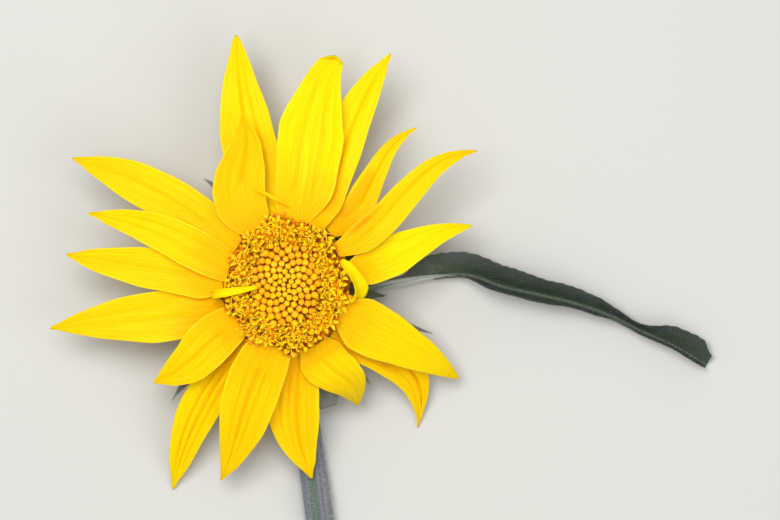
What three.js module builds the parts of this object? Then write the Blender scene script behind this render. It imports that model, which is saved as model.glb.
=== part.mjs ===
// A cut sunflower bloom lying face up: a short hairy stem bent under the head, the receptacle with
// its green bracts, the disc of closed buds and open florets, the yellow rays, and one folded leaf.
// Millimetres, +Z up. The stem runs towards -Y and the leaf towards +X, both on the floor at z = 0.
import * as THREE from "three";
import { mergeVertices } from "three/addons/utils/BufferGeometryUtils.js";

// Gap between touching pieces.
const SEAT_GAP = 0.3;

// Receptacle: a stepped dish. Its rim carries the rays, and two lower walls carry the bracts.
const RIM_RADIUS = 22;
const RIM_ACROSS_SCALE = 0.96;
const RIM_DOWN_SCALE = 1.04;
const RECEPTACLE_BACK = 17;
const RECEPTACLE_TOP = 33.6;
const RIM_FOOT = RECEPTACLE_BACK + 8.3;
const INNER_BRACT_WALL = 19.8;
const OUTER_BRACT_WALL = 16.8;

// Disc: closed buds in the middle, a ring of open florets round them.
const DISC_RADIUS = 22.6;
const BUD_ZONE_RADIUS = 13.1;
const BUD_ZONE_RISE = 5.2;
const BUD_ZONE_SLOPE = 1.1;
const FLORET_RING_RISE = 6.4;
const FLORET_RING_EDGE = 2.4;
const SPIRALS_LEFT = 13;
const SPIRALS_RIGHT = 8;
const DISC_SEGMENTS = 52;

// How fast every blade widens from its claw: the smaller, the faster.
const CLAW_FLARE = 0.4;
// How much a blade's stations crowd towards its two ends.
const STATION_GATHER = 0.055;

// Rays sit on the rim in three layers, the front one on top.
const RAY_LAYER_HEIGHT = [31.4, 28.9, 26.4];
const RAY_THICKNESS = 0.9;
const RAY_CLAW_WIDTH = 7;
const RAY_TIP_WIDTH = 0.7;

// Bracts sit under the rays in two rows.
const BRACT_THICKNESS = 1;
const BRACT_WIDTH = 9.5;
const BRACT_CLAW_WIDTH = 5.5;
const BRACT_FULLNESS = 1.8;
const BRACT_TROUGH = 0.9;
const INNER_BRACT_COUNT = 10;
const OUTER_BRACT_COUNT = 11;
const INNER_BRACT_HEIGHT = 23.6;
const OUTER_BRACT_HEIGHT = 20.6;
const INNER_BRACT_REACH = 41;
const OUTER_BRACT_REACH = 38;
const PROP_FALL = 20.2;

// Stem: its run on the floor, and the neck that bends up into the head.
const STEM_RADIUS_AT_CUT = 4.7;
const STEM_RADIUS_AT_NECK = 4.3;
const STEM_FLARE_AT_HEAD = 1.9;
const STEM_LENGTH_FROM_HEAD = 81;
const STEM_SIDEWAYS_SLOPE = 0.141;
const STEM_RIBS = 14;
const STEM_RIB_DEPTH = 0.18;
const NECK_BEND_RADIUS = 10.4;
const NECK_TOP = RECEPTACLE_BACK - SEAT_GAP;

// Leaf: a stalk from the stem, then a blade folded along its midrib, keel down.
const STALK_RADIUS_AT_STEM = 1.9;
const STALK_RADIUS_AT_BLADE = 1.5;
const LEAF_THICKNESS = 1.2;
const LEAF_KEEL_RADIUS = 1;

const rayMaterial = new THREE.MeshStandardMaterial({ color: 0xf7c808, roughness: 0.55, metalness: 0 });
const floretMaterial = new THREE.MeshStandardMaterial({ color: 0xd9960f, roughness: 0.7, metalness: 0 });
const budMaterial = new THREE.MeshStandardMaterial({ color: 0xc98a12, roughness: 0.7, metalness: 0 });
const leafMaterial = new THREE.MeshStandardMaterial({ color: 0x3f5245, roughness: 0.75, metalness: 0 });
const bractMaterial = new THREE.MeshStandardMaterial({ color: 0x5c7245, roughness: 0.8, metalness: 0 });
const stemMaterial = new THREE.MeshStandardMaterial({ color: 0x8d9a86, roughness: 0.85, metalness: 0 });

// Rays clockwise from the top. rim and tip are directions from the disc's centre in degrees and out
// is the tip's distance from it. near and far pull the ray's middle line to its left, next to the
// claw and next to the tip. width is the widest part, widest how far along it lies, and full how
// blunt the end is. fall is the tip's drop below the claw, curl how late that drop comes, and trough
// how far the edges stand over the middle. end is a blunt tip's width.
const rays = [
  {
    rim: 99, tip: 101.4, out: 84, near: 6.5, far: 3, width: 18.5, widest: 0.38, full: 1.6,
    layer: 2, fall: 2, curl: 2, trough: 0.8,
  },
  {
    rim: 80, tip: 78, out: 77, near: -1.7, far: 5.9, width: 21.7, widest: 0.52, full: 1.05,
    layer: 0, fall: -3, curl: 1.5, trough: 2, end: 7,
  },
  {
    rim: 61, tip: 65.6, out: 83.6, near: 2.4, far: 5, width: 13.4, widest: 0.4, full: 2.2,
    layer: 1, fall: 2, curl: 2, trough: 1,
  },
  {
    rim: 47, tip: 50.2, out: 67.2, near: -6.4, far: 7.5, width: 10, widest: 0.36, full: 1.1,
    layer: 2, fall: 2, curl: 2, trough: 0.8,
  },
  {
    rim: 31, tip: 34.9, out: 76.9, near: -5.6, far: 10.5, width: 10.45, widest: 0.34, full: 1.7,
    layer: 0, fall: 2, curl: 2, trough: 1.2,
  },
  {
    rim: 10, tip: 17.3, out: 64.6, near: -2.2, far: 4.15, width: 13, widest: 0.37, full: 1.25,
    layer: 1, fall: 9, curl: 1.8, trough: 1,
  },
  {
    rim: -25, tip: -28.8, out: 65, near: -1.2, far: 2, width: 18.1, widest: 0.2, full: 1.7,
    layer: 0, fall: 24, curl: 1.7, trough: -1.2,
  },
  {
    rim: -42, tip: -47.7, out: 64.6, near: 3.6, far: 20.2, width: 13.7, widest: 0.43, full: 1.9,
    layer: 2, fall: 25.8, curl: 1.4, trough: 0.8,
  },
  {
    rim: -60, tip: -59.6, out: 46.7, near: -5.3, far: 6, width: 16.4, widest: 0.35, full: 1.7,
    layer: 1, fall: 20, curl: 3, trough: -1,
  },
  {
    rim: -79, tip: -82.6, out: 65.2, near: -4.9, far: -5, width: 17, widest: 0.45, full: 1.7,
    layer: 2, fall: 15, curl: 1.3, trough: 0.8,
  },
  {
    rim: -105, tip: -108.5, out: 68.8, near: -3.2, far: 2.35, width: 18.6, widest: 0.33, full: 1.6,
    layer: 0, fall: 20, curl: 1.7, trough: 1.4,
  },
  {
    rim: -128, tip: -119, out: 78.2, near: -4.7, far: -5.5, width: 13.7, widest: 0.42, full: 1.9,
    layer: 2, fall: 25.8, curl: 1.6, trough: 0.8,
  },
  {
    rim: -145, tip: -143.5, out: 54.8, near: -1.3, far: 4.8, width: 15.8, widest: 0.36, full: 1.8,
    layer: 0, fall: 10, curl: 2, trough: 1.4,
  },
  {
    rim: -161, tip: -169.4, out: 79.7, near: 1.6, far: -0.8, width: 17, widest: 0.43, full: 1.4,
    layer: 2, fall: 6, curl: 1.6, trough: 0.8,
  },
  {
    rim: -178, tip: 172.4, out: 73.5, near: -3.2, far: 0, width: 13.7, widest: 0.34, full: 2.1,
    layer: 1, fall: 4, curl: 1.6, trough: 0.8,
  },
  {
    rim: 165, tip: 160.4, out: 69.5, near: -3.1, far: -4.15, width: 13.35, widest: 0.31, full: 1.6,
    layer: 0, fall: 1, curl: 1.6, trough: 1.4,
  },
  {
    rim: 145, tip: 149.5, out: 82.1, near: -3.7, far: -4.5, width: 14.9, widest: 0.45, full: 1.9,
    layer: 1, fall: 1, curl: 1.6, trough: 0.8,
  },
  {
    rim: 123, tip: 104.9, out: 57, near: 7.5, far: -2.5, width: 17.4, widest: 0.36, full: 1.8,
    layer: 0, fall: -4, curl: 1.6, trough: 2,
  },
];

// Three stunted rays: narrow curled strips through stations of direction, distance and height.
const smallRays = [
  {
    width: 3.8,
    path: [[-12, 22.8, 32.9], [-11, 24.3, 33.2], [-5, 25.6, 35.4], [4, 24.4, 38.4], [13, 22, 41], [21, 20, 42]],
  },
  {
    width: 2.7,
    path: [[187.5, 22.4, 32.4], [187.5, 24, 32.8], [187.5, 25.6, 37], [187.5, 22, 41.6], [186, 10, 41.4]],
  },
  {
    width: 1.5,
    path: [[85, 22.4, 32.6], [86.5, 24, 33], [96, 26.6, 36], [106, 30.4, 36.6], [111, 32.6, 37]],
  },
];

// Bracts out of the even spread, by their place in the row: direction, and how far out the tip
// comes. Most show between the rays, and two are bent right down to the floor and prop the head.
// One is broad and blunt, and shows beside the stem.
const unevenInnerBracts = {
  0: { degrees: -18.8, reach: 51, width: 7 },
  1: { degrees: -50, reach: 43.5 },
  2: { degrees: -98, reach: 41 },
  3: { degrees: -134.5, reach: 54 },
  6: { degrees: 128, reach: 44 },
};
const unevenOuterBracts = {
  0: { degrees: -7, reach: 33 },
  2: { degrees: 63, reach: 32, fall: PROP_FALL },
  4: { degrees: 127, reach: 32, fall: PROP_FALL },
  9: { degrees: -71, reach: 43.2, fall: 8.6, width: 13.5, full: 3.6 },
};

// The stalk's centre line, from the stem's side to the blade.
const stalkPath = new THREE.CatmullRomCurve3([
  new THREE.Vector3(7.5, -16, 6.2),
  new THREE.Vector3(12, -12, 6.4),
  new THREE.Vector3(19, -6, 6.8),
  new THREE.Vector3(28, -1.8, 6.9),
  new THREE.Vector3(34, -0.2, 6.6),
  new THREE.Vector3(38.1, 0.5, 6.3),
]);

// The leaf's keel, from the stalk's end to the tip.
const keelPath = new THREE.CatmullRomCurve3([
  new THREE.Vector3(38.4, 0.6, 6.2),
  new THREE.Vector3(48, 2.4, 4.2),
  new THREE.Vector3(60, 3, 2),
  new THREE.Vector3(72.3, -1, 0.9),
  new THREE.Vector3(85.5, -3.9, 0.8),
  new THREE.Vector3(97, -6.8, 0.8),
  new THREE.Vector3(108.6, -11, 0.8),
  new THREE.Vector3(117, -15.3, 0.9),
  new THREE.Vector3(128.4, -20.3, 0.9),
  new THREE.Vector3(139.6, -26.9, 0.8),
]);

// Stations along the leaf: share of its length, width of its far and near half, and how far each half
// leans out from upright, in degrees; the near half faces the stem's side.
const leafStations = [
  { v: 0, farHalf: 2.2, nearHalf: 0.6, farLean: 60, nearLean: 10 },
  { v: 0.08, farHalf: 8.8, nearHalf: 0.7, farLean: 50, nearLean: 0 },
  { v: 0.16, farHalf: 12.4, nearHalf: 3, farLean: 34, nearLean: 0 },
  { v: 0.3, farHalf: 14, nearHalf: 14, farLean: 27, nearLean: 6 },
  { v: 0.47, farHalf: 12, nearHalf: 12, farLean: 24, nearLean: 8 },
  { v: 0.6, farHalf: 9.5, nearHalf: 9.5, farLean: 25, nearLean: 4 },
  { v: 0.74, farHalf: 6.5, nearHalf: 6.5, farLean: 10, nearLean: 0 },
  { v: 0.88, farHalf: 8, nearHalf: 8, farLean: 46, nearLean: 4 },
  { v: 0.95, farHalf: 7.6, nearHalf: 7.6, farLean: 60, nearLean: 2 },
  { v: 1, farHalf: 4.6, nearHalf: 4.6, farLean: 50, nearLean: 2 },
];

const UP = new THREE.Vector3(0, 0, 1);

// The geometry with only its positions left and its shared vertices joined.
function closedShell(geometry) {
  geometry.deleteAttribute("normal");
  geometry.deleteAttribute("uv");
  return mergeVertices(geometry, 1e-3);
}

// A closed thin solid that follows surface(v, w): v runs 0 to 1 along it and w -1 to 1 across it.
function thickSheet(surface, thickness, along, across) {
  const shell = closedShell(new THREE.BoxGeometry(2, 1, 2, across, along, 1));
  const position = shell.attributes.position;
  const step = 0.004;
  for (let i = 0; i < position.count; i += 1) {
    const w = position.getX(i);
    const v = position.getY(i) + 0.5;
    const side = position.getZ(i);
    const lengthwise = surface(Math.min(v + step, 1), w).sub(surface(Math.max(v - step, 0), w));
    const crosswise = surface(v, Math.min(w + step, 1)).sub(surface(v, Math.max(w - step, -1)));
    const normal = crosswise.cross(lengthwise).normalize();
    const point = surface(v, w).addScaledVector(normal, (side * thickness(v, w)) / 2);
    position.setXYZ(i, point.x, point.y, point.z);
  }
  return shell;
}

// A closed round bar along a path, with radius(v, turn) and flat ends square to it. sideways is
// one direction square to the whole path, for a path that turns upright.
function taperedBar(path, radius, along, around, sideways = null) {
  const shell = closedShell(new THREE.CylinderGeometry(1, 1, 1, around, along));
  const position = shell.attributes.position;
  for (let i = 0; i < position.count; i += 1) {
    const v = position.getY(i) + 0.5;
    const onAxis = Math.hypot(position.getX(i), position.getZ(i)) < 0.5;
    const turn = Math.atan2(position.getZ(i), position.getX(i));
    const tangent = path.getTangentAt(v);
    const across = sideways ?? new THREE.Vector3().crossVectors(tangent, UP).normalize();
    const above = new THREE.Vector3().crossVectors(across, tangent);
    const r = onAxis ? 0 : radius(v, turn);
    const point = path
      .getPointAt(v)
      .addScaledVector(across, r * Math.cos(turn))
      .addScaledVector(above, r * Math.sin(turn));
    position.setXYZ(i, point.x, point.y, point.z);
  }
  return shell;
}

// Plan point at a direction in degrees and a distance from the disc's centre.
function polar(degrees, distance) {
  const angle = THREE.MathUtils.degToRad(degrees);
  return new THREE.Vector2(distance * Math.cos(angle), distance * Math.sin(angle));
}

// The same on the head, which is slightly oval.
function onHead(degrees, distance) {
  const point = polar(degrees, distance);
  return point.set(point.x * RIM_ACROSS_SCALE, point.y * RIM_DOWN_SCALE);
}

function leftOf(direction) {
  return new THREE.Vector2(-direction.y, direction.x).normalize();
}

// Share of the full width at v: a narrow claw that widens to 1, then a pointed tip.
function outline(v, claw, widest, tip, full) {
  if (v < widest) return claw + (1 - claw) * Math.sin((Math.PI / 2) * (v / widest) ** CLAW_FLARE);
  const beyond = (v - widest) / (1 - widest);
  return tip + (1 - tip) * (1 - beyond ** full);
}

// Moves the stations along a blade closer together near its claw and its tip.
function gathered(v) {
  return v - STATION_GATHER * Math.sin(2 * Math.PI * v);
}

// Sideways pull on a blade's middle line, from a pull near the claw and one near the tip.
function sway(v, near, far) {
  return 3 * (1 - v) ** 2 * v * near + 3 * (1 - v) * v * v * far;
}

function rayGeometry(ray) {
  const foot = onHead(ray.rim, RIM_RADIUS + SEAT_GAP + 0.1);
  const chord = polar(ray.tip, ray.out).sub(foot);
  const left = leftOf(chord);
  const rimLeft = onHead(ray.rim + 90, 1).normalize();
  const claw = RAY_CLAW_WIDTH / ray.width;
  const end = (ray.end ?? RAY_TIP_WIDTH) / ray.width;
  const surface = (station, w) => {
    const v = gathered(station);
    const aside = rimLeft.clone().lerp(left, THREE.MathUtils.smoothstep(v, 0, 0.2)).normalize();
    const share = outline(v, claw, ray.widest, end, ray.full);
    const plan = foot
      .clone()
      .addScaledVector(chord, v)
      .addScaledVector(left, sway(v, ray.near, ray.far))
      .addScaledVector(aside, (-w * share * ray.width) / 2);
    const trough = ray.trough * Math.min(1, v * 5) * share * (w * w - 0.35);
    const height = RAY_LAYER_HEIGHT[ray.layer] - ray.fall * v ** ray.curl + trough;
    return new THREE.Vector3(plan.x, plan.y, height);
  };
  const thickness = (v, w) => RAY_THICKNESS * (1 - 0.3 * w * w) * (1 - 0.3 * v);
  return thickSheet(surface, thickness, 11, 4);
}

function smallRayGeometry(ray) {
  const stations = ray.path.map(([degrees, distance, height]) => {
    const plan = onHead(degrees, distance);
    return new THREE.Vector3(plan.x, plan.y, height);
  });
  const path = new THREE.CatmullRomCurve3(stations);
  const headCentre = new THREE.Vector3(0, 0, RECEPTACLE_BACK);
  const surface = (v, w) => {
    const point = path.getPointAt(v);
    const outward = point.clone().sub(headCentre).normalize();
    const across = new THREE.Vector3().crossVectors(outward, path.getTangentAt(v)).normalize();
    return point.addScaledVector(across, (-w * ray.width * outline(v, 0.8, 0.5, 0.35, 1.8)) / 2);
  };
  return thickSheet(surface, () => RAY_THICKNESS, 9, 2);
}

// How far a bract's tip drops: the bracts droop with the reflexed rays at the lower right.
function bractFall(degrees) {
  const towardsLowerRight = Math.cos(THREE.MathUtils.degToRad(degrees + 70));
  return 6 + 9 * Math.max(0, towardsLowerRight);
}

function bractGeometry({ degrees, reach, fall, width, full, wall, height }) {
  const foot = onHead(degrees, wall + SEAT_GAP + 0.1);
  const chord = polar(degrees, reach).sub(foot);
  const left = leftOf(chord);
  const surface = (v, w) => {
    const share = outline(v, BRACT_CLAW_WIDTH / width, 0.32, 0.1, full);
    const aside = (-w * share * width) / 2;
    const plan = foot.clone().addScaledVector(chord, v).addScaledVector(left, aside);
    const trough = BRACT_TROUGH * Math.min(1, v * 4) * share * (w * w - 0.4);
    return new THREE.Vector3(plan.x, plan.y, height - fall * v ** 1.4 + trough);
  };
  const thickness = (v) => BRACT_THICKNESS * (1 - 0.35 * v);
  return thickSheet(surface, thickness, 6, 2);
}

function receptacleGeometry() {
  const profile = [
    [0, RECEPTACLE_BACK],
    [6.4, RECEPTACLE_BACK],
    [11.5, RECEPTACLE_BACK + 0.7],
    [15.8, RECEPTACLE_BACK + 1.6],
    [OUTER_BRACT_WALL, RECEPTACLE_BACK + 2.4],
    [OUTER_BRACT_WALL, RECEPTACLE_BACK + 4.9],
    [INNER_BRACT_WALL, RECEPTACLE_BACK + 5.4],
    [INNER_BRACT_WALL, RECEPTACLE_BACK + 7.8],
    [RIM_RADIUS, RIM_FOOT],
    [RIM_RADIUS, RECEPTACLE_TOP - 0.2],
    [RIM_RADIUS - 1, RECEPTACLE_TOP],
    [0, RECEPTACLE_TOP],
  ];
  const points = profile.map(([r, z]) => new THREE.Vector2(r, z));
  const dish = new THREE.LatheGeometry(points, 40).rotateX(Math.PI / 2);
  return dish.scale(RIM_ACROSS_SCALE, RIM_DOWN_SCALE, 1);
}

// Height of the small domes between the crossing spirals of florets, from -1 to 1.
function spiralRelief(angle, distance) {
  const turn = Math.log(1 + distance / 4) * 5;
  return Math.cos(SPIRALS_LEFT * angle + turn) * Math.cos(SPIRALS_RIGHT * angle - turn);
}

// A lathed piece of the disc whose upper side carries the florets' relief.
function discLathe(profile, depth) {
  const points = profile.map(([r, z]) => new THREE.Vector2(r, z));
  const geometry = new THREE.LatheGeometry(points, DISC_SEGMENTS).rotateX(Math.PI / 2);
  const position = geometry.attributes.position;
  for (let i = 0; i < position.count; i += 1) {
    const x = position.getX(i);
    const y = position.getY(i);
    const z = position.getZ(i);
    const above = THREE.MathUtils.clamp((z - RECEPTACLE_TOP - 1.2) / 2, 0, 1);
    const rise = depth * above * spiralRelief(Math.atan2(y, x), Math.hypot(x, y));
    position.setXYZ(i, x * RIM_ACROSS_SCALE, y * RIM_DOWN_SCALE, z + rise);
  }
  return geometry;
}

function budGeometry() {
  const floor = RECEPTACLE_TOP + SEAT_GAP;
  const profile = [[0, floor], [BUD_ZONE_RADIUS, floor]];
  const rings = 6;
  for (let i = 0; i <= rings; i += 1) {
    const share = 1 - i / rings;
    profile.push([BUD_ZONE_RADIUS * share, floor + BUD_ZONE_RISE - BUD_ZONE_SLOPE * share ** 2]);
  }
  return discLathe(profile, 0.35);
}

function floretRingGeometry() {
  const floor = RECEPTACLE_TOP + SEAT_GAP;
  const inner = BUD_ZONE_RADIUS + SEAT_GAP;
  const width = DISC_RADIUS - inner;
  const profile = [[inner, floor], [DISC_RADIUS - 0.8, floor]];
  const steps = 5;
  for (let i = 0; i <= steps; i += 1) {
    const share = i / steps;
    const swell = Math.sin(Math.PI * (0.12 + 0.62 * share));
    const rise = FLORET_RING_EDGE + (FLORET_RING_RISE - FLORET_RING_EDGE) * swell;
    profile.push([DISC_RADIUS - width * share, floor + rise]);
  }
  profile.push([inner, floor]);
  return discLathe(profile, 0.7);
}

// The stem's radius before its ribs and its flare, at a share of the run on the floor.
function runRadius(share) {
  return THREE.MathUtils.lerp(STEM_RADIUS_AT_CUT, STEM_RADIUS_AT_NECK, Math.min(1, share));
}

// The stem: along the floor from the cut, then up round the neck into the head's back.
function stemGeometry() {
  const away = new THREE.Vector3(STEM_SIDEWAYS_SLOPE, -1, 0).normalize();
  const runLength = STEM_LENGTH_FROM_HEAD - NECK_BEND_RADIUS;
  const bendLength = (Math.PI / 2) * NECK_BEND_RADIUS;
  const uprightLength = NECK_TOP - STEM_RADIUS_AT_NECK - NECK_BEND_RADIUS;
  const runShare = runLength / (runLength + bendLength + uprightLength);
  const points = [];
  const runSteps = 10;
  for (let i = 0; i <= runSteps; i += 1) {
    const share = i / runSteps;
    const distance = STEM_LENGTH_FROM_HEAD - runLength * share;
    points.push(away.clone().multiplyScalar(distance).setZ(runRadius(share)));
  }
  const bendSteps = 6;
  for (let i = 1; i <= bendSteps; i += 1) {
    const angle = (Math.PI / 2) * (i / bendSteps);
    const distance = NECK_BEND_RADIUS * (1 - Math.sin(angle));
    const rise = NECK_BEND_RADIUS * (1 - Math.cos(angle));
    points.push(away.clone().multiplyScalar(distance).setZ(STEM_RADIUS_AT_NECK + rise));
  }
  points.push(new THREE.Vector3(0, 0, NECK_TOP - uprightLength / 2));
  points.push(new THREE.Vector3(0, 0, NECK_TOP));
  const radius = (v, turn) => {
    const flare = STEM_FLARE_AT_HEAD * THREE.MathUtils.smoothstep(v, 0.92, 1);
    const groove = (STEM_RIB_DEPTH / 2) * (1 - Math.cos(STEM_RIBS * turn));
    return runRadius(v / runShare) + flare - groove;
  };
  const sideways = new THREE.Vector3().crossVectors(UP, away);
  return taperedBar(new THREE.CatmullRomCurve3(points), radius, 28, 2 * STEM_RIBS, sideways);
}

function stalkGeometry() {
  const radius = (v) => THREE.MathUtils.lerp(STALK_RADIUS_AT_STEM, STALK_RADIUS_AT_BLADE, v);
  return taperedBar(stalkPath, radius, 12, 8);
}

// A size of the leaf at v, eased between its stations.
function leafSize(v, field) {
  const next = leafStations.findIndex((station) => station.v >= v && station.v > 0);
  const before = leafStations[next - 1];
  const after = leafStations[next];
  const share = THREE.MathUtils.smoothstep(v, before.v, after.v);
  return THREE.MathUtils.lerp(before[field], after[field], share);
}

function leafGeometry() {
  const surface = (v, station) => {
    const side = Math.sign(station);
    const across = new THREE.Vector3().crossVectors(UP, keelPath.getTangentAt(v)).normalize();
    const lean = THREE.MathUtils.degToRad(leafSize(v, side > 0 ? "farLean" : "nearLean"));
    const bend = Math.PI / 2 - lean;
    const run = Math.abs(station) ** 1.4 * leafSize(v, side > 0 ? "farHalf" : "nearHalf");
    const bent = Math.min(run / LEAF_KEEL_RADIUS, bend);
    const straight = run - bent * LEAF_KEEL_RADIUS;
    const out = LEAF_KEEL_RADIUS * Math.sin(bent) + straight * Math.cos(bent);
    const rise = LEAF_KEEL_RADIUS * (1 - Math.cos(bent)) + straight * Math.sin(bent);
    return keelPath.getPointAt(v).addScaledVector(across, side * out).addScaledVector(UP, rise);
  };
  const thickness = (v, w) => LEAF_THICKNESS * (1 - 0.4 * Math.abs(w));
  return thickSheet(surface, thickness, 22, 10);
}

const group = new THREE.Group();

function add(name, geometry, material) {
  const shell = closedShell(geometry);
  shell.computeVertexNormals();
  const mesh = new THREE.Mesh(shell, material);
  mesh.name = name;
  group.add(mesh);
}

function numbered(name, index) {
  return `${name}_${String(index + 1).padStart(2, "0")}`;
}

add("stem", stemGeometry(), stemMaterial);
add("leaf_stalk", stalkGeometry(), stemMaterial);
add("leaf_blade", leafGeometry(), leafMaterial);
add("receptacle", receptacleGeometry(), bractMaterial);
add("disc_buds", budGeometry(), budMaterial);
add("open_florets", floretRingGeometry(), floretMaterial);
rays.forEach((ray, i) => add(numbered("ray", i), rayGeometry(ray), rayMaterial));
smallRays.forEach((ray, i) => add(numbered("small_ray", i), smallRayGeometry(ray), rayMaterial));

for (let i = 0; i < INNER_BRACT_COUNT; i += 1) {
  const even = { degrees: -19 - (i * 360) / INNER_BRACT_COUNT, reach: INNER_BRACT_REACH };
  const place = unevenInnerBracts[i] ?? even;
  const form = { width: BRACT_WIDTH, full: BRACT_FULLNESS, fall: bractFall(place.degrees) };
  const row = { wall: INNER_BRACT_WALL, height: INNER_BRACT_HEIGHT };
  const bract = bractGeometry({ ...form, ...place, ...row });
  add(numbered("inner_bract", i), bract, bractMaterial);
}
for (let i = 0; i < OUTER_BRACT_COUNT; i += 1) {
  const even = { degrees: -2 + (i * 360) / OUTER_BRACT_COUNT, reach: OUTER_BRACT_REACH };
  const place = unevenOuterBracts[i] ?? even;
  const form = { width: BRACT_WIDTH, full: BRACT_FULLNESS, fall: bractFall(place.degrees) + 2 };
  const row = { wall: OUTER_BRACT_WALL, height: OUTER_BRACT_HEIGHT };
  const bract = bractGeometry({ ...form, ...place, ...row });
  add(numbered("outer_bract", i), bract, bractMaterial);
}

// The origin is the middle of the bounding box's underside, on the floor.
const box = new THREE.Box3().setFromObject(group);
const centre = box.getCenter(new THREE.Vector3());
group.position.set(-centre.x, -centre.y, -box.min.z);

export default group;
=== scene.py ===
"""A cut sunflower bloom lying face up on a pale floor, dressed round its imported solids.

Shapes are worked out in millimetres about the middle of the head, by the same rules as the
part's source, and to_frame() turns them into the frame's metres.
"""

import math

import bpy
import numpy as np
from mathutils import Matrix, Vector


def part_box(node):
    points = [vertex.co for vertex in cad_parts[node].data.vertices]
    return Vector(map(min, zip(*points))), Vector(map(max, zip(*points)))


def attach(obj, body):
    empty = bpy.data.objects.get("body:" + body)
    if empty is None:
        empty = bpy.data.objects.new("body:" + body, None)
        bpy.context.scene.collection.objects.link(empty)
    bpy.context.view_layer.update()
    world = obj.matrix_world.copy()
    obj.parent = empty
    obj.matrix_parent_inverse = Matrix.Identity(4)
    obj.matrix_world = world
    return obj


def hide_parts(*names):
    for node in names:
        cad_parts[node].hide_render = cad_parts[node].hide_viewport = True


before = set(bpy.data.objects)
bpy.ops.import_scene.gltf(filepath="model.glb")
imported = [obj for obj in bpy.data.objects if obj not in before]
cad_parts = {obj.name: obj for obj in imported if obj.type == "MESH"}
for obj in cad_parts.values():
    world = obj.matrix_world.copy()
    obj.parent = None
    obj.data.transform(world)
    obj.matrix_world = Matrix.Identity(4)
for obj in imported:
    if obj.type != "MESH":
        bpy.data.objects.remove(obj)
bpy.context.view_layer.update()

MM = 0.001
GOLDEN_ANGLE = math.radians(137.508)
UP = np.array([0.0, 0.0, 1.0])

head_low, head_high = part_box("receptacle")
HEAD_X = (head_low[0] + head_high[0]) / 2
HEAD_Y = (head_low[1] + head_high[1]) / 2

# The photograph: its size in pixels, what one pixel is at the head, and where the head's middle is.
PHOTO_WIDTH = 780
PHOTO_HEIGHT = 520
PHOTO_PIXEL = 0.33 * MM
HEAD_IN_PHOTO = (286, 284)

# Receptacle and disc, in millimetres as in the part's source.
RIM_RADIUS = 22
ACROSS_SCALE = 0.96
DOWN_SCALE = 1.04
SEAT_GAP = 0.3
RECEPTACLE_BACK = 17
RECEPTACLE_TOP = 33.6
INNER_BRACT_WALL = 19.8
OUTER_BRACT_WALL = 16.8
DISC_RADIUS = 22.6
BUD_ZONE_RADIUS = 13.1
BUD_ZONE_RISE = 5.2
BUD_ZONE_SLOPE = 1.1
FLORET_RING_RISE = 6.4
FLORET_RING_EDGE = 2.4

# Where the open florets leave a dent at the rim: direction, depth and half its breadth in degrees.
RING_DENTS = [
    (-5, 2.4, 6), (24, 1.2, 5), (40, 1.0, 4), (-45, 1.8, 5), (142, 1.4, 6), (-169, 0.8, 4), (66, 0.8, 4),
]
# A plain claw pushes the open florets in by this share of its reach, over this many degrees.
CLAW_PUSH = 1.15
CLAW_PUSH_BREADTH = 8.5

# Florets: how many, and how fast they grow from the middle of the spiral outwards.
CLOSED_BUDS = 112
ALL_FLORETS = 250
SPIRAL_POWER = 0.62
CLOSED_HALF_WIDTH = 12.1
CLOSED_HALF_HEIGHT = 13.5
RIM_FLORETS = 70
LOOSE_STYLES = 280
STYLE_RADIUS = 0.2

# How much painted shade each ring of a bud's profile gets: the nearer its side, the more.
BUD_SIDE_SHADE = [1, 1, 1, 0.9, 0.7, 0.4, 0.12]

# Between these depths under the disc's face the open florets turn from yellow to orange-brown:
# painted shade in the depths of the ring.
FLORET_DEPTHS = (0.2, 2.0)

# How far the disc's floor lies under the florets' tops.
DISC_FLOOR_DEPTH = 1.9

# How fast every blade widens from its claw: the smaller, the faster.
CLAW_FLARE = 0.4
# How much a ray's rows crowd towards its two ends.
STATION_GATHER = 0.055

# Rays. For each layer: how high it lies, and how far its claws rise over the rim and reach in.
RAY_LAYER_HEIGHT = [31.4, 28.9, 26.4]
CLAW_RISE = [2.9, 5.1, 4.2]
CLAW_REACH_IN = [2.3, 2.0, 0.2]
# Shares of a ray's length: where its claw has come down, and where it has left the rim.
CLAW_RUN = 0.24
RIM_RUN = 0.14
RAY_CLAW_WIDTH = 7
RAY_TIP_WIDTH = 1.1
# How much a pointed tip is drawn in, and over which share of the length it rounds off.
TIP_PINCH = 0.25
TIP_ROUND = 0.022
# How uneven a ray's edges are, as a share of its width.
RAY_SCALLOP = 0.024
RAY_THICKNESS = 0.42
RAY_ROWS = 72
RAY_COLUMNS = 31

# A blunt ray's tip turns over towards its upper side: by how much, and over which share of it.
HOOK_TURN = 2.3
HOOK_SHARE = 0.035
HOOK_ROWS = 12

# Bracts.
BRACT_WIDTH = 9.5
BRACT_CLAW_WIDTH = 5.5
BRACT_FULLNESS = 1.8
BRACT_TROUGH = 0.9
BRACT_THICKNESS = 0.7
INNER_BRACT_COUNT = 10
OUTER_BRACT_COUNT = 11
INNER_BRACT_HEIGHT = 23.6
OUTER_BRACT_HEIGHT = 20.6
INNER_BRACT_REACH = 41
OUTER_BRACT_REACH = 38
# How far the tips of the two bracts that prop the head drop.
PROP_FALL = 20.2
BRACT_EDGE_HAIRS = 190
BRACT_FACE_HAIRS = 160
BRACT_HAIR_RADIUS = 0.05

# Stem.
STEM_RADIUS_AT_CUT = 4.7
STEM_RADIUS_AT_NECK = 4.3
STEM_FLARE_AT_HEAD = 1.9
STEM_LENGTH_FROM_HEAD = 81
STEM_SIDEWAYS_SLOPE = 0.141
STEM_RIBS = 14
NECK_BEND_RADIUS = 10.4
NECK_TOP = RECEPTACLE_BACK - SEAT_GAP
STEM_HAIRS = 8500
STEM_HAIR_RADIUS = 0.04

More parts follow.
